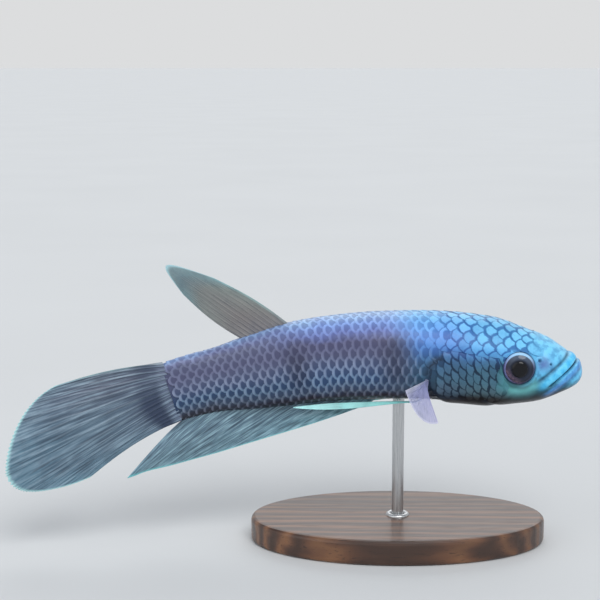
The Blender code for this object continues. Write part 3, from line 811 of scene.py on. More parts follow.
def skin():
    """One closed skin from the lips to the tail's root."""
    bpy.ops.mesh.primitive_uv_sphere_add(segments=SKIN_SIDES, ring_count=SKIN_RINGS, radius=1)
    made = named("skin")
    ball = corners(made.data)
    along = np.arccos(np.clip(ball[:, 2], -1, 1)) / math.pi
    behind = STANDARD_LENGTH * np.minimum(1, along / (1 - 1 / SKIN_RINGS)) ** 1.5  # finer at the head
    turn = np.arctan2(ball[:, 1], ball[:, 0])
    plain = straight(behind, turn, 0 * behind)
    relief, shade, lip, jaw, patch, teal = head_relief(*plain.T)
    cover = coat_cover(plain[:, 0], plain[:, 2])
    bare_depth = BARE_DEPTH * smoothstep(behind, 0.2 * MM, 2 * MM)
    points = straight(behind, turn, mix(bare_depth, COAT_DEPTH, cover) - relief)
    chin, tail = along < 1e-4, along > 1 - 1e-4
    points[chin] = (0, 0, -CHIN_DROP)
    points[tail] = (STANDARD_LENGTH, 0, 0)
    move_to(made.data, SPINE.place(*points.T))
    note(made.data, "bare_jaw_teal", np.stack([1 - cover, jaw, teal], 1))
    # The middle note is how much painted shade each point gets, in the creases and pits of the head.
    note(made.data, "lip_painted_shade_nostril", np.stack([lip, shade, patch], 1))
    fish_notes(made.data, plain[:, 0], plain[:, 2], 0 * behind)
    made.data.uv_layers[0].name = "OFBake"
    face_outwards(made)
    return finish_piece(
        made, skin_material(), "skin", "head", "upper_jaw", "lower_jaw", "gill_cover_right",
        "gill_cover_left", "trunk_front", "trunk_rear", "tail_stalk", smooth=60,
    )


# ---- the scales ----

SCALE_THICKNESS = 0.07 * MM
SCALE_LIFT = 0.20 * MM  # of the rear edge over the skin
SCALE_DOME = 0.05 * MM
SCALE_SINK = 0.18 * MM  # of the front edge into the skin
SCALE_SPAN = 1.95  # length over the pitch, so that each is half covered by the one ahead
FIRST_COLUMN, LAST_COLUMN = 9.9 * MM, STANDARD_LENGTH - 1.9 * MM
TRUNK_PITCH, PLATE_PITCH = 1.76 * MM, 2.5 * MM
ROW_SPACING = 1.93 * MM
PLATES_END = 31 * MM
PLATE_LIFT = 0.06 * MM  # more over the skin, so that the plates lie over the cheek's top scales
CHEEK_TUCK = 0.14 * MM  # of the cheek's top scales, under the plates
NAPE_END = 34 * MM
CHEEK_SLANT = math.radians(-28)
CHEEK_PITCH, CHEEK_SPACING = 1.65 * MM, 2.05 * MM
CHEEK_TOP, CHEEK_BOTTOM = 3.3 * MM, -7.4 * MM


def scale_template():
    """One scale as a thin closed disc: its corners, in shares of its half length and half height,
    and its faces. The rear edge is at +X."""
    bpy.ops.mesh.primitive_circle_add(vertices=16, radius=1, fill_type="NGON")
    made = named("scale_template")
    bpy.ops.object.mode_set(mode="EDIT")
    bpy.ops.mesh.select_all(action="SELECT")
    bpy.ops.mesh.extrude_region_move(TRANSFORM_OT_translate={"value": (0, 0, 1)})
    bpy.ops.mesh.inset(thickness=0.22)
    bpy.ops.mesh.inset(thickness=0.36)
    bpy.ops.mesh.poke()
    bpy.ops.object.mode_set(mode="OBJECT")
    face_outwards(made)
    points = corners(made.data)
    faces = [tuple(face.vertices) for face in made.data.polygons]
    bpy.data.objects.remove(made)
    return points, faces


def pitch_at(behind):
    """The pitch along a row, which is wider for the plates of the nape."""
    return mix(PLATE_PITCH, TRUNK_PITCH, smoothstep(behind, 22 * MM, 36 * MM))


def trunk_columns():
    """Half pitches along the fish, from the brow to the tail's root."""
    columns = [FIRST_COLUMN]
    while columns[-1] < LAST_COLUMN:
        columns.append(columns[-1] + pitch_at(columns[-1]) / 2)
    return columns


def place_on(behind, arc):
    """How high the place at this length round the body is, and its turn."""
    turn = float(WRAP.turn(np.array([behind]), np.array([arc]))[0])
    return section(behind, turn)[1], turn


def outside_trunk(behind, up):
    """Whether no trunk scale or nape plate has its place here: on the cheek, the snout or the eye."""
    on_cheek = behind < 26 * MM or gill_edge_distance(behind, up) < 0.25 * MM
    low = on_cheek and up < 2.5 * MM or behind < 12.5 * MM and up < 4.6 * MM
    return low or eye_distance(behind, up) < EYE_RADIUS + 0.6 * MM


def scale_sites(rng):
    """Each scale's place, size and slant: (side, behind, arc, pitch, half height, slant, kind)."""
    sites = []
    widest = float(WRAP.to_back(0.33 * STANDARD_LENGTH))
    for number, behind in enumerate(trunk_columns()):
        quarter_up, quarter_down = float(WRAP.to_back(behind)), float(WRAP.to_belly(behind))
        spacing = ROW_SPACING * (quarter_up / widest) ** 0.6
        pitch = pitch_at(behind)
        for row in range(-10, 11):
            if (row + number) % 2:
                continue
            arc = row * spacing
            quarter = quarter_up if arc > 0 else quarter_down
            sides = (1, -1)
            if abs(abs(arc) - quarter) < 0.35 * spacing:
                arc = math.copysign(quarter, arc)
                sides = (1,)
            elif abs(arc) > quarter:
                continue
            if outside_trunk(behind, place_on(behind, arc)[0]):
                continue
            for side in sides:
                shift = rng.normal(0, 0.03, 3)
                kind = 1.0 if behind + 60 * shift[0] * MM < PLATES_END else 0.0
                shift *= mix(1.0, 2.2, kind)
                half_height = mix(0.98, 0.88, kind) * spacing * (1 + shift[2])
                place = (behind + shift[0] * pitch, arc + shift[1] * spacing)
                sites.append((side, *place, pitch, half_height, 0.0, kind))
    return sites


def on_cheek(behind, arc):
    """Whether a cheek scale has its place here: behind and below the eye, on the gill cover."""
    if not 10 * MM < behind < 31 * MM:
        return False
    up, turn = place_on(behind, arc)
    if turn < -1.5 or not CHEEK_BOTTOM <= up <= CHEEK_TOP:
        return False
    if behind > 24 * MM and gill_edge_distance(behind, up) > -0.7 * MM:
        return False
    if behind < 16.4 * MM and up > -5.6 * MM:
        return False
    return eye_distance(behind, up) >= EYE_RADIUS + 0.4 * MM and coat_cover(behind, up) >= 0.85


def cheek_sites(rng):
    """Tall slanted scales on the cheek and the gill cover, from the eye to the cover's edge."""
    sites = []
    for number in range(-4, 40):
        for row in range(-14, 14):
            along, across = number * CHEEK_PITCH / 2, row * CHEEK_SPACING
            behind = 17 * MM + along * math.cos(CHEEK_SLANT) - across * math.sin(CHEEK_SLANT)
            arc = along * math.sin(CHEEK_SLANT) + across * math.cos(CHEEK_SLANT)
            if (row + number) % 2 or not on_cheek(behind, arc):
                continue
            for side in (1, -1):
                shift = rng.normal(0, 0.07, 3)
                place = (behind + shift[0] * CHEEK_PITCH, arc + shift[1] * CHEEK_SPACING)
                half_height = 0.96 * CHEEK_SPACING * (1 + shift[2])
                sites.append((side, *place, CHEEK_PITCH, half_height, CHEEK_SLANT, 2.0))
    return sites


def clear_the_eye(behind, turn):
    """Moves the corners that would lie on the eye out to its rim."""
    up = section(behind, turn)[1]
    away = eye_distance(behind, up)
    room = EYE_RADIUS + 0.12 * MM
    push = np.where(away < room, room / np.maximum(away, 0.2 * MM), 1.0)
    behind = EYE_AT[0] + (behind - EYE_AT[0]) * push
    up = EYE_AT[1] + (up - EYE_AT[1]) * push
    share = np.clip(up / half_depth(behind), -1, 1)
    moved = np.arcsin(np.sign(share) * np.abs(share) ** (SECTION_POWER / 2))
    return behind, np.where(push > 1, moved, turn)


def scale_lift(x, y, top, behind, place_up, kind):
    """How far each corner of the scales is over the skin."""
    lift = SCALE_LIFT * ((x + 1) / 2) ** 1.2 + SCALE_DOME * (1 - y * y) * (1 - 0.5 * x * x)
    plates = 1 - smoothstep(behind, PLATES_END - 5 * MM, PLATES_END + 5 * MM)
    lift = lift + np.where(top, 0, -SCALE_THICKNESS) + PLATE_LIFT * plates * (kind < 2)
    low_plate = (kind == 1) * (1 - smoothstep(place_up, 3.4 * MM, 5.0 * MM))
    lift -= SCALE_SINK * smoothstep(-x, 0.0, 0.8) * (1 - low_plate)
    return lift - CHEEK_TUCK * (kind == 2) * smoothstep(place_up, 0.6 * MM, 2.8 * MM)


def lay_scales(name, sites, rng, material):
    """All the scales of one piece, each bent to the body, in one mesh."""
    template, faces = scale_template()
    count, corner_count = len(sites), len(template)
    side, behind, arc, pitch, half_height, slant, kind = np.repeat(np.array(sites), corner_count, 0).T
    x, y, level = np.tile(template, (count, 1)).T
    top = level > 0.5
    squared = 1 + 0.16 * np.abs(x * y) * (x < 0)  # the hidden front is squarer than the rear
    narrow = np.where(top, 1.0, 0.94)
    half_length = pitch * SCALE_SPAN / 2
    along = x * squared * narrow * half_length - (half_length - pitch / 2)
    across = y * squared * narrow * half_height
    here = behind + along * np.cos(slant) - across * np.sin(slant)
    round_body = arc + along * np.sin(slant) + across * np.cos(slant)
    here, turn = clear_the_eye(here, WRAP.turn(here, round_body))
    turn = np.where(side > 0, turn, math.pi - turn)
    place_up = section(here, turn)[1]
    lift = scale_lift(x, y, top, behind, place_up, kind)
    points = straight(here, turn, COAT_DEPTH - lift - gill_edge_relief(here, place_up)[0])
    offsets = np.arange(count) * corner_count
    mesh = bpy.data.meshes.new(name)
    corner_faces = [tuple(i + offset for i in face) for offset in offsets for face in faces]
    mesh.from_pydata(SPINE.place(*points.T), [], corner_faces)
    made = bpy.data.objects.new(name, mesh)
    bpy.context.scene.collection.objects.link(made)
    fish_notes(mesh, mix(here, behind, 0.5), place_up, kind)
    tone = np.repeat(rng.random(count), corner_count)
    note(mesh, "on_scale", np.stack([x, y, tone], 1))
    patch_map(made, side, behind, arc, pitch, half_height, x * narrow, y * narrow)
    return finish_piece(made, material, "skin", smooth=50)


def patch_map(made, side, behind, arc, pitch, half_height, x, y):
    """Lays each scale as a small patch at its root's place on the body's own unwrap: share of the
    length across, share of the way round the body up."""
    length = STANDARD_LENGTH * 1.04
    girth = 4.2 * float(WRAP.to_back(0.33 * STANDARD_LENGTH))
    round_share = np.where(side > 0, arc, girth / 2 - arc) / girth + 0.27
    across = behind / length + 0.40 * pitch / length * x
    upwards = round_share % 1.0 + 0.60 * half_height / girth * y
    spots = np.stack([across, upwards], 1)
    loops = np.empty(len(made.data.loops), int)
    made.data.loops.foreach_get("vertex_index", loops)
    layer = made.data.uv_layers.new(name="OFBake")
    layer.data.foreach_set("uv", spots[loops].ravel())


def scales():
    rng = np.random.default_rng(7)
    material = scale_material()
    body = scale_sites(rng)
    lay_scales("scales_trunk", [site for site in body if site[1] >= NAPE_END], rng, material)
    lay_scales("scales_nape", [site for site in body if site[1] < NAPE_END], rng, material)
    lay_scales("scales_cheeks", cheek_sites(rng), rng, material)


# ---- the eyes ----

PUPIL = 0.50  # share of the eye's radius, as the shares below
PUPIL_FLOOR, LENS_RISE = 0.696, 0.19
IRIS_RISE, IRIS_EDGE = 0.80, 0.03


def flank_at(behind, up):
    """How far out the outline is at this height."""
    out, height = section(behind, np.linspace(-math.pi / 2, math.pi / 2, 2001))
    return np.interp(up, height, out)


def eye_material():
    """Blown glass, painted behind: a black pupil in a dark blue-grey iris, greyer above as a painted
    reflection, with a pale lilac ring at its edge that is brightest above and behind and pale blue on
    top as a painted highlight, under clear gloss."""
    made, tree, shader = new_material(
        "Painted glass eye",
        Coat_Weight=1.0, Coat_Roughness=0.03, Coat_IOR=1.38, Roughness=0.35, Specular_IOR_Level=0.0,
    )
    rearward, upward, front = notes_at(tree, "on_eye")
    ring = length_of(tree, rearward, upward)
    colour = add_node(tree, "ValToRGB", ring, stops=(
        (0.0, "#04050A"), (0.44, "#05070D"), (0.52, "#141A2A"), (0.66, "#20293C"), (0.80, "#1A2234"),
    ))

    def towards(rear, up):
        """How far a point lies towards one side of the eye."""
        x = add_node(tree, "Math", rearward, rear, **TIMES)
        y = add_node(tree, "Math", upward, up, **TIMES)
        return add_node(tree, "Math", x, y, **PLUS)

    place = add_node(tree, "TexCoord", out="Object")
    mottle = add_node(tree, "TexNoise", place, 1 / (0.5 * MM), 3.0, GRAIN)
    warm = add_node(tree, "MapRange", towards(0.6, -0.8), 0.25, 0.75, 0.0, 1.0, **SMOOTH)
    outside_pupil = add_node(tree, "MapRange", ring, 0.48, 0.62, 0.0, 1.0, **SMOOTH)
    patchy = add_node(tree, "MapRange", mottle, 0.35, 0.65, 0.25, 0.9, **SMOOTH)
    warm = add_node(tree, "Math", warm, outside_pupil, **TIMES)
    warm = add_node(tree, "Math", warm, patchy, **TIMES)
    colour = add_node(tree, "Mix", warm, colour, hexcolour("#6A5468"), **COLOURS)
    # Painted reflection: the upper part of the iris turns grey.
    high = add_node(tree, "MapRange", upward, 0.1, 0.8, 0.0, 0.45, **SMOOTH)
    outer_iris = add_node(tree, "MapRange", ring, 0.48, 0.70, 0.0, 1.0, **SMOOTH)
    high = add_node(tree, "Math", high, outer_iris, **TIMES)
    colour = add_node(tree, "Mix", high, colour, hexcolour("#6C7C92"), **COLOURS)
    pale = add_node(tree, "MapRange", towards(0.75, 0.65), -0.75, 0.35, 0.12, 0.95, **SMOOTH)
    edge = add_node(tree, "MapRange", ring, 0.83, 0.88, 0.0, 1.0, **SMOOTH)
    pale = add_node(tree, "Math", pale, edge, **TIMES)
    # The ring is lilac, and pale blue on top as a painted highlight.
    ring_top_highlight = add_node(tree, "MapRange", upward, 0.0, 0.9, 0.0, 1.0, **SMOOTH)
    lilac = add_node(tree, "Mix", ring_top_highlight, hexcolour("#8C93CC"), hexcolour("#A4D2F6"), **COLOURS)
    colour = add_node(tree, "Mix", pale, colour, lilac, **COLOURS)
    rim = add_node(tree, "MapRange", ring, 0.955, 1.0, 0.0, 0.8, **SMOOTH)
    colour = add_node(tree, "Mix", rim, colour, hexcolour("#1C2C44"), **COLOURS)
    colour = add_node(tree, "Mix", front, hexcolour("#1C2C44"), colour, **COLOURS)
    connect(tree, shader, Base_Color=colour)
    return made


def eyes():
    material = eye_material()
    behind, up = EYE_AT
    middle = flank_at(behind, up) - EYE_DEPTH
    for name, side in (("right", 1), ("left", -1)):
        bpy.ops.mesh.primitive_uv_sphere_add(segments=64, ring_count=48, radius=1)
        made = named(f"eyeball_{name}")
        x, y, z = corners(made.data).T
        ring = np.hypot(x, y)
        lens = PUPIL_FLOOR + LENS_RISE * np.sqrt(np.maximum(0, 1 - (ring / PUPIL) ** 2))
        iris = IRIS_RISE * np.sqrt(np.maximum(0, 1 - ring**2)) ** 0.8 + IRIS_EDGE
        out = np.where(z > 0, np.where(ring < PUPIL, lens, iris), z)
        rear, high = behind + x * EYE_RADIUS, up + y * EYE_RADIUS
        move_to(made.data, SPINE.place(rear, side * (middle + out * EYE_BULGE), high))
        note(made.data, "on_eye", np.stack([x, y, 1.0 * (z > 0)], 1))
        face_outwards(made)
        finish_piece(made, material, "eye", f"eye_{name}", smooth=60)


# ---- the fins ----

GAP = 0.3 * MM
ROOT_IN = 1.2 * MM  # how far a fin's root goes into the body
TAIL_FIN_LENGTH = 35.4 * MM
TAIL_FIN_FALL = 25.0
TAIL_FIN_TOP = (19.6 * MM, 11.7 * MM, 1.50, 0.8 * MM)  # rim's turn in, half height, pointedness, bow
TAIL_FIN_LOW = (20.0 * MM, 7.9 * MM, 0.75, -0.8 * MM)
TAIL_FIN_WAVE = 0.8 * MM
DORSAL_ROOT = (58.8 * MM, 68.0 * MM)
DORSAL_RISE = (32.6, 37.8)
DORSAL_LENGTH = (16.8 * MM, 14.2 * MM)
DORSAL_POINT = 7.4 * MM
DORSAL_BOW = (0.7 * MM, -0.7 * MM)
DORSAL_WAVE = 0.6 * MM
ANAL_ROOT = (42.3 * MM, 83.6 * MM)
ANAL_FALL = (31.0, 43.5)
ANAL_LENGTH = 19.8 * MM
ANAL_BOW = 0.6 * MM
ANAL_WAVE = 0.7 * MM
PELVIC_ROOT, PELVIC_TIP = 31.0 * MM, 60.4 * MM
PELVIC_OUT = (2.9 * MM, 2.0 * MM)
PELVIC_WIDTH = 1.35 * MM
PECTORAL_AT = (31.8 * MM, -4.5 * MM)
PECTORAL_ROOT_HEIGHT = 1.8 * MM
PECTORAL_RAYS = (  # the first, the middle and the last ray's reach: behind, out and up
    (4.6 * MM, 8.6 * MM, -0.3 * MM),
    (1.6 * MM, 8.6 * MM, -4.8 * MM),
    (-2.2 * MM, 6.0 * MM, -5.6 * MM),
)
# How far each fork's branches part, and where along the ray they start and end to do so.
FORKS = ((0.25, 0.40, 0.75), (0.125, 0.72, 0.97))
RAY_WIDTH = (0.17, 0.05)  # at the root and at the rim, in shares of the room for one ray
RAY_JOINTS = 26
ROOT_SHARE = 0.22  # of each ray, over which the thick root thins out
RIM_NOTCH = 0.010  # how far the membrane stops short of the ray tips, as a share of the ray

# In what follows, t is a point's share of the way across a fin's rays, and v its share of the way
# along them from the root.


def tail_fin(t, v):
    """A long fin with a blunt point, fuller above than below."""
    side = 2 * t - 1
    top = side > 0
    turn_in, half_height, power, bow = (
        np.where(top, high, low) for high, low in zip(TAIL_FIN_TOP, TAIL_FIN_LOW)
    )
    angle = math.pi / 2 * np.abs(side) ** 0.8
    rim_along = turn_in + (TAIL_FIN_LENGTH - turn_in) * np.cos(angle)
    rim_up = half_height * np.sin(angle) ** power * np.sign(side)
    root_up = side * (half_depth(STANDARD_LENGTH) - COAT_DEPTH)
    spread = bow * side * np.abs(side) * np.sin(math.pi * v)
    wave = TAIL_FIN_WAVE * v * v * np.sin(5 * side + 0.6)
    along = mix(-ROOT_IN, rim_along, v)
    above = v * (rim_up - root_up) + spread
    return SPINE.ray(STANDARD_LENGTH + 2 * GAP, root_up, -TAIL_FIN_FALL, along, wave, above)


def dorsal_fin(t, v):
    """A short high fin far back, with its point over the tail."""
    root = mix(*DORSAL_ROOT, t)
    length = mix(*DORSAL_LENGTH, t) + DORSAL_POINT * np.sin(math.pi * t)
    along = mix(-2 * ROOT_IN, length, v)
    bow = mix(*DORSAL_BOW, t) * np.sin(math.pi * v)
    wave = DORSAL_WAVE * v * np.sin(4 * t)
    return SPINE.ray(root, half_depth(root) + GAP, mix(*DORSAL_RISE, t), along, wave, bow)


def anal_fin(t, v):
    """A long low fin, from the vent to the root of the tail fin."""
    root = mix(*ANAL_ROOT, t)
    length = ANAL_LENGTH * np.sin(math.pi * (0.015 + 0.735 * t)) ** 0.72
    along = mix(-1.6 * ROOT_IN, length, v)
    wave = ANAL_WAVE * v * v * np.sin(9 * t)
    fall = mix(*ANAL_FALL, t**3.5)
    bow = ANAL_BOW * t**10 * np.sin(math.pi * np.maximum(v, 0) ** 0.6)
    return SPINE.ray(root, -half_depth(root) - GAP, -fall, along, wave, bow)


def under_belly(behind, out):
    """How high the belly is, this far out from the midplane."""
    share = np.abs(out) / half_width(behind)
    return -half_depth(behind) * (1 - share**SECTION_POWER) ** (1 / SECTION_POWER)


def pelvic_fin(side):
    """A narrow fin that trails along the belly."""
    def shape(t, v):
        behind = mix(PELVIC_ROOT, PELVIC_TIP, v)
        width = PELVIC_WIDTH * (0.12 + 0.88 * np.sin(math.pi * np.maximum(v, 0) ** 1.6))
        out = side * mix(*PELVIC_OUT, v)
        sink = ROOT_IN * (1 - smoothstep(v, 0, 0.10))
        up = under_belly(behind, out) - GAP * 1.5 - t * width + sink
        return SPINE.place(behind, out, up)

    return shape


def pectoral_fin(side):
    """A clear fan behind the gill cover, from a short root."""
    behind, up = PECTORAL_AT
    first, middle, last = np.array(PECTORAL_RAYS)

    def shape(t, v):
        root_up = up + (0.5 - t) * PECTORAL_ROOT_HEIGHT
        t3 = t[:, None]
        reach = first * (1 - t3) * (1 - 2 * t3) + middle * 4 * t3 * (1 - t3) + last * t3 * (2 * t3 - 1)
        reach = reach * mix(-0.12, 1.0, v)[:, None]
        out = flank_at(behind, root_up) + reach[:, 1]
        back = unit(SPINE.at(SPINE.back, np.array([behind])))
        return SPINE.place(behind, side * out, root_up + reach[:, 2]) + back * reach[:, :1]

    return shape


def ray_relief(t, v, rays):
    """From 0 on the membrane to 1 on a ray's ridge. Each ray forks once and then again."""
    away = (t * rays) % 1.0 - 0.5
    for spread, start, end in FORKS:
        away = np.abs(away) - spread * smoothstep(v, start, end)
    return bell(away, mix(*RAY_WIDTH, v**0.7))


def fin_normals(shape, t, v):
    """The directions square to a fin's midplane."""
    step = 0.004
    sideways = shape(np.minimum(t + step, 1), v) - shape(np.maximum(t - step, 0), v)
    outward = shape(t, v + step) - shape(t, v - step)
    normal = np.cross(sideways, outward)
    return normal / np.maximum(np.linalg.norm(normal, axis=1, keepdims=True), 1e-12)


def fin_piece(
    name, shape, columns, rows, rays, material, node, slot,
    membrane=0.09 * MM, ridge=0.15 * MM, root=0.5 * MM,
):
    """A fin as a thin closed slab with raised, jointed rays on both faces. The last three are half
    its thickness on the membrane, and how much the ridges and the root add to it."""
    bpy.ops.mesh.primitive_grid_add(x_subdivisions=columns, y_subdivisions=rows, size=2)
    made = named(name)
    slab = made.modifiers.new("Thickness", "SOLIDIFY")
    slab.thickness = 0.1
    slab.offset = 0
    bpy.ops.object.modifier_apply(modifier=slab.name)
    flat = corners(made.data)
    t, v = (flat[:, 0] + 1) / 2, (flat[:, 1] + 1) / 2
    face = np.sign(flat[:, 2])
    relief = ray_relief(t, v, rays)
    reach = v * (1 - RIM_NOTCH * smoothstep(v, 0.75, 1.0) * (1 - relief))
    joints = 1 - 0.25 * bell((v * RAY_JOINTS) % 1.0 - 0.5, 0.16) * smoothstep(v, 0.15, 0.3)
    thick = membrane + root * (1 - smoothstep(v, 0, ROOT_SHARE))
    thick = thick + ridge * relief * joints * mix(1.0, 0.35, v)
    rim = np.minimum(smoothstep(1 - v, 0, 0.02), smoothstep(np.minimum(t, 1 - t), 0, 0.6 / columns))
    thick = thick * mix(0.45, 1.0, rim)
    move_to(made.data, shape(t, reach) + fin_normals(shape, t, reach) * (face * thick)[:, None])
    note(made.data, "on_fin", np.stack([t, v, relief], 1))
    face_outwards(made)
    return finish_piece(made, material, slot, node, smooth=70)


# Each fin's paint: its colours from root to rim, and across its rays, the tint of the rays and of
# the margin, how wide the margin is and how strong the streaks are.
TAIL_PAINT = {
    "name": "Painted resin tail fin",
    "along": (
        (0.0, "#626A86"), (0.06, "#566078"), (0.2, "#434F66"), (0.5, "#526678"),
        (0.8, "#4A7086"), (1.0, "#5C90A4"),
    ),
    "across": (
        (0.0, "#5C7C8C"), (0.3, "#5C7688"), (0.6, "#546C7E"), (0.85, "#5C5A6C"),
        (0.975, "#66707E"), (1.0, "#A4C8C4"),
    ),
    "tint": "#90A6B6", "margin": "#A8D6D8", "margin_width": 0.028, "streak": 0.75,
    "root": "#26344E",
}
DORSAL_PAINT = {
    "name": "Painted resin dorsal fin",
    "along": (
        (0.0, "#6E6C72"), (0.3, "#787474"), (0.65, "#768684"), (0.85, "#5CA0B0"), (1.0, "#8FC4D0"),
    ),
    "across": ((0.0, "#9CC8C8"), (0.08, "#7C8480"), (0.5, "#767474"), (1.0, "#7C807E")),
    "tint": "#8E8A88", "margin": "#A8D0D8", "margin_width": 0.05, "streak": 0.35,
}
ANAL_PAINT = {
    "name": "Painted resin anal fin",
    "along": ((0.0, "#506878"), (0.3, "#567284"), (0.7, "#5C7E8C"), (1.0, "#6694A2")),
    "across": ((0.0, "#6FA8B0"), (0.3, "#587A8A"), (0.75, "#5A7282"), (1.0, "#667E90")),
    "tint": "#A2C4D2", "margin": "#7CCFD2", "margin_width": 0.06, "streak": 0.8,
}
PECTORAL_PAINT = {
    "name": "Clear tinted resin pectoral fin",
    "along": ((0.0, "#8E96C4"), (0.5, "#AEB0DC"), (1.0, "#C8C8E6")),
    "across": ((0.0, "#F4F6FF"), (0.12, "#B0B6E6"), (1.0, "#B4B4DC")),
    "tint": "#D6D6F4", "margin": "#DCDCF6", "margin_width": 0.05, "streak": 0.4,
    "alpha": 0.55,
}
PELVIC_PAINT = {
    "name": "Painted resin pelvic fin",
    "along": ((0.0, "#8CC4C8"), (0.3, "#A4F0EC"), (0.8, "#BCFBFA"), (1.0, "#C4FFFF")),
    "tint": "#D4FFFF", "margin": "#C8F8FA", "margin_width": 0.05, "streak": 0.3,
}
STREAKS = (45.0, 3.5)  # how many fit across a fin's rays and along them: under 1 mm wide on the tail
BLOTCH_SIZE = 4 * MM


def fin_material(name, along, tint, margin, margin_width, streak, across=(), root=None, alpha=1.0):
    """Thin cast resin, painted and sealed with a soft sheen: a darker membrane with fine streaks that
    run along the lighter rays, and a pale margin."""
    made, tree, shader = new_material(
        name, Coat_Weight=0.15, Coat_Roughness=0.25, Alpha=alpha, Specular_IOR_Level=0.35
    )
    t, v, relief = notes_at(tree, "on_fin")
    colour = add_node(tree, "ValToRGB", v, stops=along)
    if across:
        share = add_node(tree, "MapRange", v, 0.1, 0.5, 0.2, 0.6, **SMOOTH)
        sideways = add_node(tree, "ValToRGB", t, stops=across)
        colour = add_node(tree, "Mix", share, colour, sideways, **COLOURS)
    x, y = (add_node(tree, "Math", share, count, **TIMES) for share, count in zip((t, v), STREAKS))
    streaks = add_node(tree, "TexNoise", add_node(tree, "CombineXYZ", x, y), 1.0, 3.0, GRAIN)
    place = add_node(tree, "TexCoord", out="Object")
    blotch = add_node(tree, "TexNoise", place, 1 / BLOTCH_SIZE, 3.0, GRAIN)
    for share, paint in (
        (add_node(tree, "MapRange", streaks, 0.45, 0.72, 0.0, streak, **SMOOTH), tint),
        (add_node(tree, "MapRange", streaks, 0.32, 0.50, 0.8 * streak, 0.0, **SMOOTH), "#2C3848"),
        (add_node(tree, "Math", relief, 0.35 * streak, **TIMES), tint),
        (add_node(tree, "MapRange", blotch, 0.42, 0.75, 0.0, 0.30, **SMOOTH), "#3A4658"),
    ):
        colour = add_node(tree, "Mix", share, colour, hexcolour(paint), **COLOURS)
    if root:
        spot = within(tree, v, (0.04, 0.10), (0.15, 0.24))
        upper = add_node(tree, "MapRange", t, 0.50, 0.75, 0.9, 0.36, **SMOOTH)
        spot = add_node(tree, "Math", spot, upper, **TIMES)
        colour = add_node(tree, "Mix", spot, colour, hexcolour(root), **COLOURS)
    rim = add_node(tree, "MapRange", v, 1 - margin_width, 1.0, 0.0, 1.0, **SMOOTH)
    colour = add_node(tree, "Mix", rim, colour, hexcolour(margin), **COLOURS)
    rough = add_node(tree, "MapRange", blotch, 0.3, 0.7, 0.38, 0.54)
    connect(tree, shader, Base_Color=colour, Roughness=rough)
    return made


def fins():
    tail, dorsal, anal, pectoral, pelvic = (
        fin_material(**paint)
        for paint in (TAIL_PAINT, DORSAL_PAINT, ANAL_PAINT, PECTORAL_PAINT, PELVIC_PAINT)
    )
    fin_piece(
        "rayed_tail_fin", tail_fin, 300, 90, 14, tail, "tail_fin", "fin",
        ridge=0.22 * MM, root=0.9 * MM,
    )
    fin_piece("rayed_dorsal_fin", dorsal_fin, 150, 60, 10, dorsal, "dorsal_fin", "fin")
    fin_piece("rayed_anal_fin", anal_fin, 420, 60, 28, anal, "anal_fin", "fin")
    for name, side in (("right", 1), ("left", -1)):
        fin_piece(
            f"rayed_pectoral_fin_{name}", pectoral_fin(side), 150, 50, 13, pectoral,
            f"pectoral_fin_{name}", "clear_fin", membrane=0.06 * MM, ridge=0.12 * MM, root=0.3 * MM,
        )
        fin_piece(
            f"rayed_pelvic_fin_{name}", pelvic_fin(side), 30, 120, 5, pelvic,
            f"pelvic_fin_{name}", "fin", membrane=0.10 * MM, ridge=0.08 * MM, root=0.25 * MM,
        )


# ---- the stand ----

COLLAR = (1.85 * MM, 0.55 * MM)  # the radius of its ring, and of the ring's section
WALNUT_BANDS = 90.0  # the wave texture's scale, which gives a band of grain every 3.5 mm
WALNUT_CLOUDS = 7 * MM
# Both about twice as coarse as the real ones, so that they show.
WALNUT_PORES, STEEL_SCRATCHES = 0.35 * MM, 0.15 * MM


def wood_material():
    """Turned walnut under satin varnish: long brown grain with fine dark pores."""
    made, tree, shader = new_material("Varnished turned walnut", Coat_Weight=0.35, Coat_Roughness=0.18)
    place = add_node(tree, "TexCoord", out="Object")
    grain = add_node(tree, "Mapping", place, None, None, (0.09, 1.0, 1.0))
    warp = add_node(tree, "TexNoise", grain, 1 / WALNUT_CLOUDS, 3.0, GRAIN)
    bands = add_node(
        tree, "TexWave", grain, WALNUT_BANDS, 9.0, 3.0, 1.2, out="Fac", bands_direction="Y"
    )
    colour = add_node(tree, "ValToRGB", bands, stops=(
        (0.0, "#3B2417"), (0.45, "#553522"), (0.8, "#6B452C"), (1.0, "#7A5234"),
    ))
    clouds = add_node(tree, "MapRange", warp, 0.35, 0.7, 0.0, 0.5, **SMOOTH)
    colour = add_node(tree, "Mix", clouds, colour, hexcolour("#2E1B12"), **COLOURS)
    drawn_out = add_node(tree, "Mapping", place, None, None, (0.05, 1.0, 1.0))
    pores = add_node(tree, "TexNoise", drawn_out, 1 / WALNUT_PORES, 2.0, GRAIN)
    deep = add_node(tree, "MapRange", pores, 0.58, 0.72, 0.0, 0.6, **SMOOTH)
    colour = add_node(tree, "Mix", deep, colour, hexcolour("#1E110A"), **COLOURS)
    rough = add_node(tree, "MapRange", pores, 0.3, 0.7, 0.34, 0.48)
    bump = add_node(tree, "Bump", 0.2, 0.03 * MM, None, pores)
    connect(tree, shader, Base_Color=colour, Roughness=rough, Normal=bump)
    return made


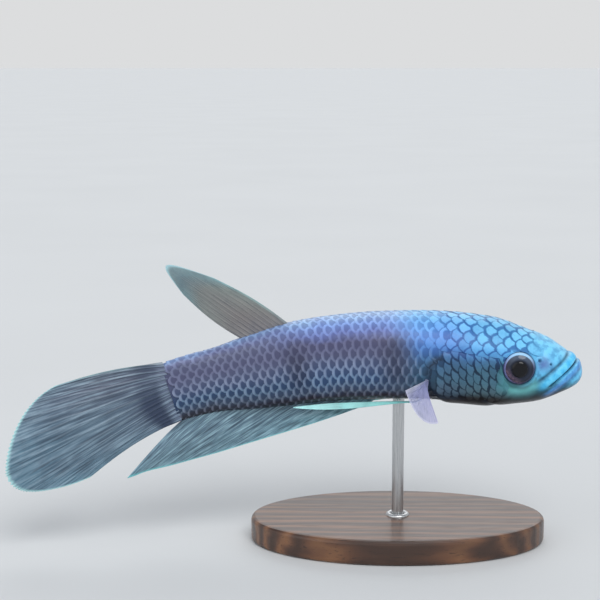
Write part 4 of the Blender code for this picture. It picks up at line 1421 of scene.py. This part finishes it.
def steel_material():
    """Drawn stainless rod, rubbed lengthwise with fine grit, so its shine is drawn out."""
    made, tree, shader = new_material("Brushed stainless steel", Metallic=1.0)
    place = add_node(tree, "TexCoord", out="Object")
    lengthwise = add_node(tree, "Mapping", place, None, None, (1.0, 1.0, 0.03))
    scratches = add_node(tree, "TexNoise", lengthwise, 1 / STEEL_SCRATCHES, 3.0, GRAIN)
    share = add_node(tree, "MapRange", scratches, 0.35, 0.7, 0.0, 1.0, **SMOOTH)
    colour = add_node(tree, "Mix", share, hexcolour("#B9BBBD"), hexcolour("#D2D3D4"), **COLOURS)
    rough = add_node(tree, "MapRange", scratches, 0.3, 0.7, 0.24, 0.42)
    bump = add_node(tree, "Bump", 0.15, 0.01 * MM, None, scratches)
    connect(tree, shader, Base_Color=colour, Roughness=rough, Normal=bump)
    return made


def stand():
    """The frame's own base and rod, in wood and steel, and the collar where they meet."""
    steel = steel_material()
    for node, material, slot in (
        ("stand_base", wood_material(), "stand_wood"),
        ("stand_rod", steel, "stand_steel"),
    ):
        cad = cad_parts[node]
        cad.data.materials.clear()
        cad.data.materials.append(material)
        select_only(cad)
        bpy.ops.object.shade_smooth_by_angle(angle=math.radians(35))
    _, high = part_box("stand_base")
    bpy.ops.mesh.primitive_torus_add(
        location=(0, 0, high.z), major_radius=COLLAR[0], minor_radius=COLLAR[1],
        major_segments=64, minor_segments=20,
    )
    collar = named("stand_collar")
    bpy.ops.object.transform_apply(location=True, rotation=True, scale=True)
    finish_piece(collar, steel, "stand_steel")


# ---- the room ----

LAMPS = (  # where each is, how wide in degrees and how strong
    ("key", (0.25, -0.70, 0.80), 35, 1.5),
    ("fill", (-0.70, -0.60, 0.50), 60, 0.45),
    ("back_light", (0.10, 0.80, 0.70), 45, 0.6),
)
LOOK_AT = (-0.0200, 0, 0.0496)
CAMERA_RISE, CAMERA_DISTANCE = math.radians(9), 0.300
CAMERA_VIEW = math.radians(22.7)


def floor_material():
    """Matt studio board, so evenly pale that only the stand's soft shadow shows on it."""
    made, tree, shader = new_material("Pale matt studio board", Roughness=0.85, Specular_IOR_Level=0.2)
    place = add_node(tree, "TexCoord", out="Object")
    soft = add_node(tree, "TexNoise", place, 1 / (120 * MM), 2.0, GRAIN)
    colour = add_node(tree, "Mix", soft, hexcolour("#CCCECF"), hexcolour("#D2D4D5"), **COLOURS)
    connect(tree, shader, Base_Color=colour)
    return made


def room():
    """A wide pale floor under an even pale sky, with three broad lamps far away."""
    bpy.ops.mesh.primitive_plane_add(size=60)
    floor = named("studio_floor")
    floor.data.materials.append(floor_material())
    world = bpy.data.worlds.new("Pale studio")
    world.use_nodes = True
    tree = world.node_tree
    direction = add_node(tree, "TexCoord", out="Generated")
    height = add_node(tree, "SeparateXYZ", direction, out="Z")
    share = add_node(tree, "MapRange", height, 0.05, 0.7, 0.0, 1.0, **SMOOTH)
    sky = add_node(tree, "Mix", share, hexcolour("#DCDDDE"), hexcolour("#BCC0C6"), **COLOURS)
    connect(tree, tree.nodes["Background"], Color=sky)
    bpy.context.scene.world = world
    bpy.context.scene.view_settings.view_transform = "Standard"
    for name, place, spread, power in LAMPS:
        lamp = bpy.data.lights.new(name, "SUN")
        lamp.angle = math.radians(spread)
        lamp.energy = power
        made = bpy.data.objects.new(name, lamp)
        made.location = place
        made.rotation_euler = Vector(place).to_track_quat("Z", "Y").to_euler()
        bpy.context.scene.collection.objects.link(made)


def camera():
    """A little above the fish, square to its right flank."""
    target = Vector(LOOK_AT)
    lens = bpy.data.cameras.new("camera")
    lens.angle = CAMERA_VIEW
    made = bpy.data.objects.new("camera", lens)
    away = Vector((0, -math.cos(CAMERA_RISE), math.sin(CAMERA_RISE)))
    made.location = target + away * CAMERA_DISTANCE
    made.rotation_euler = (target - made.location).to_track_quat("-Z", "Y").to_euler()
    bpy.context.scene.collection.objects.link(made)
    bpy.context.scene.camera = made


camera()
room()
skin()
scales()
eyes()
fins()
stand()
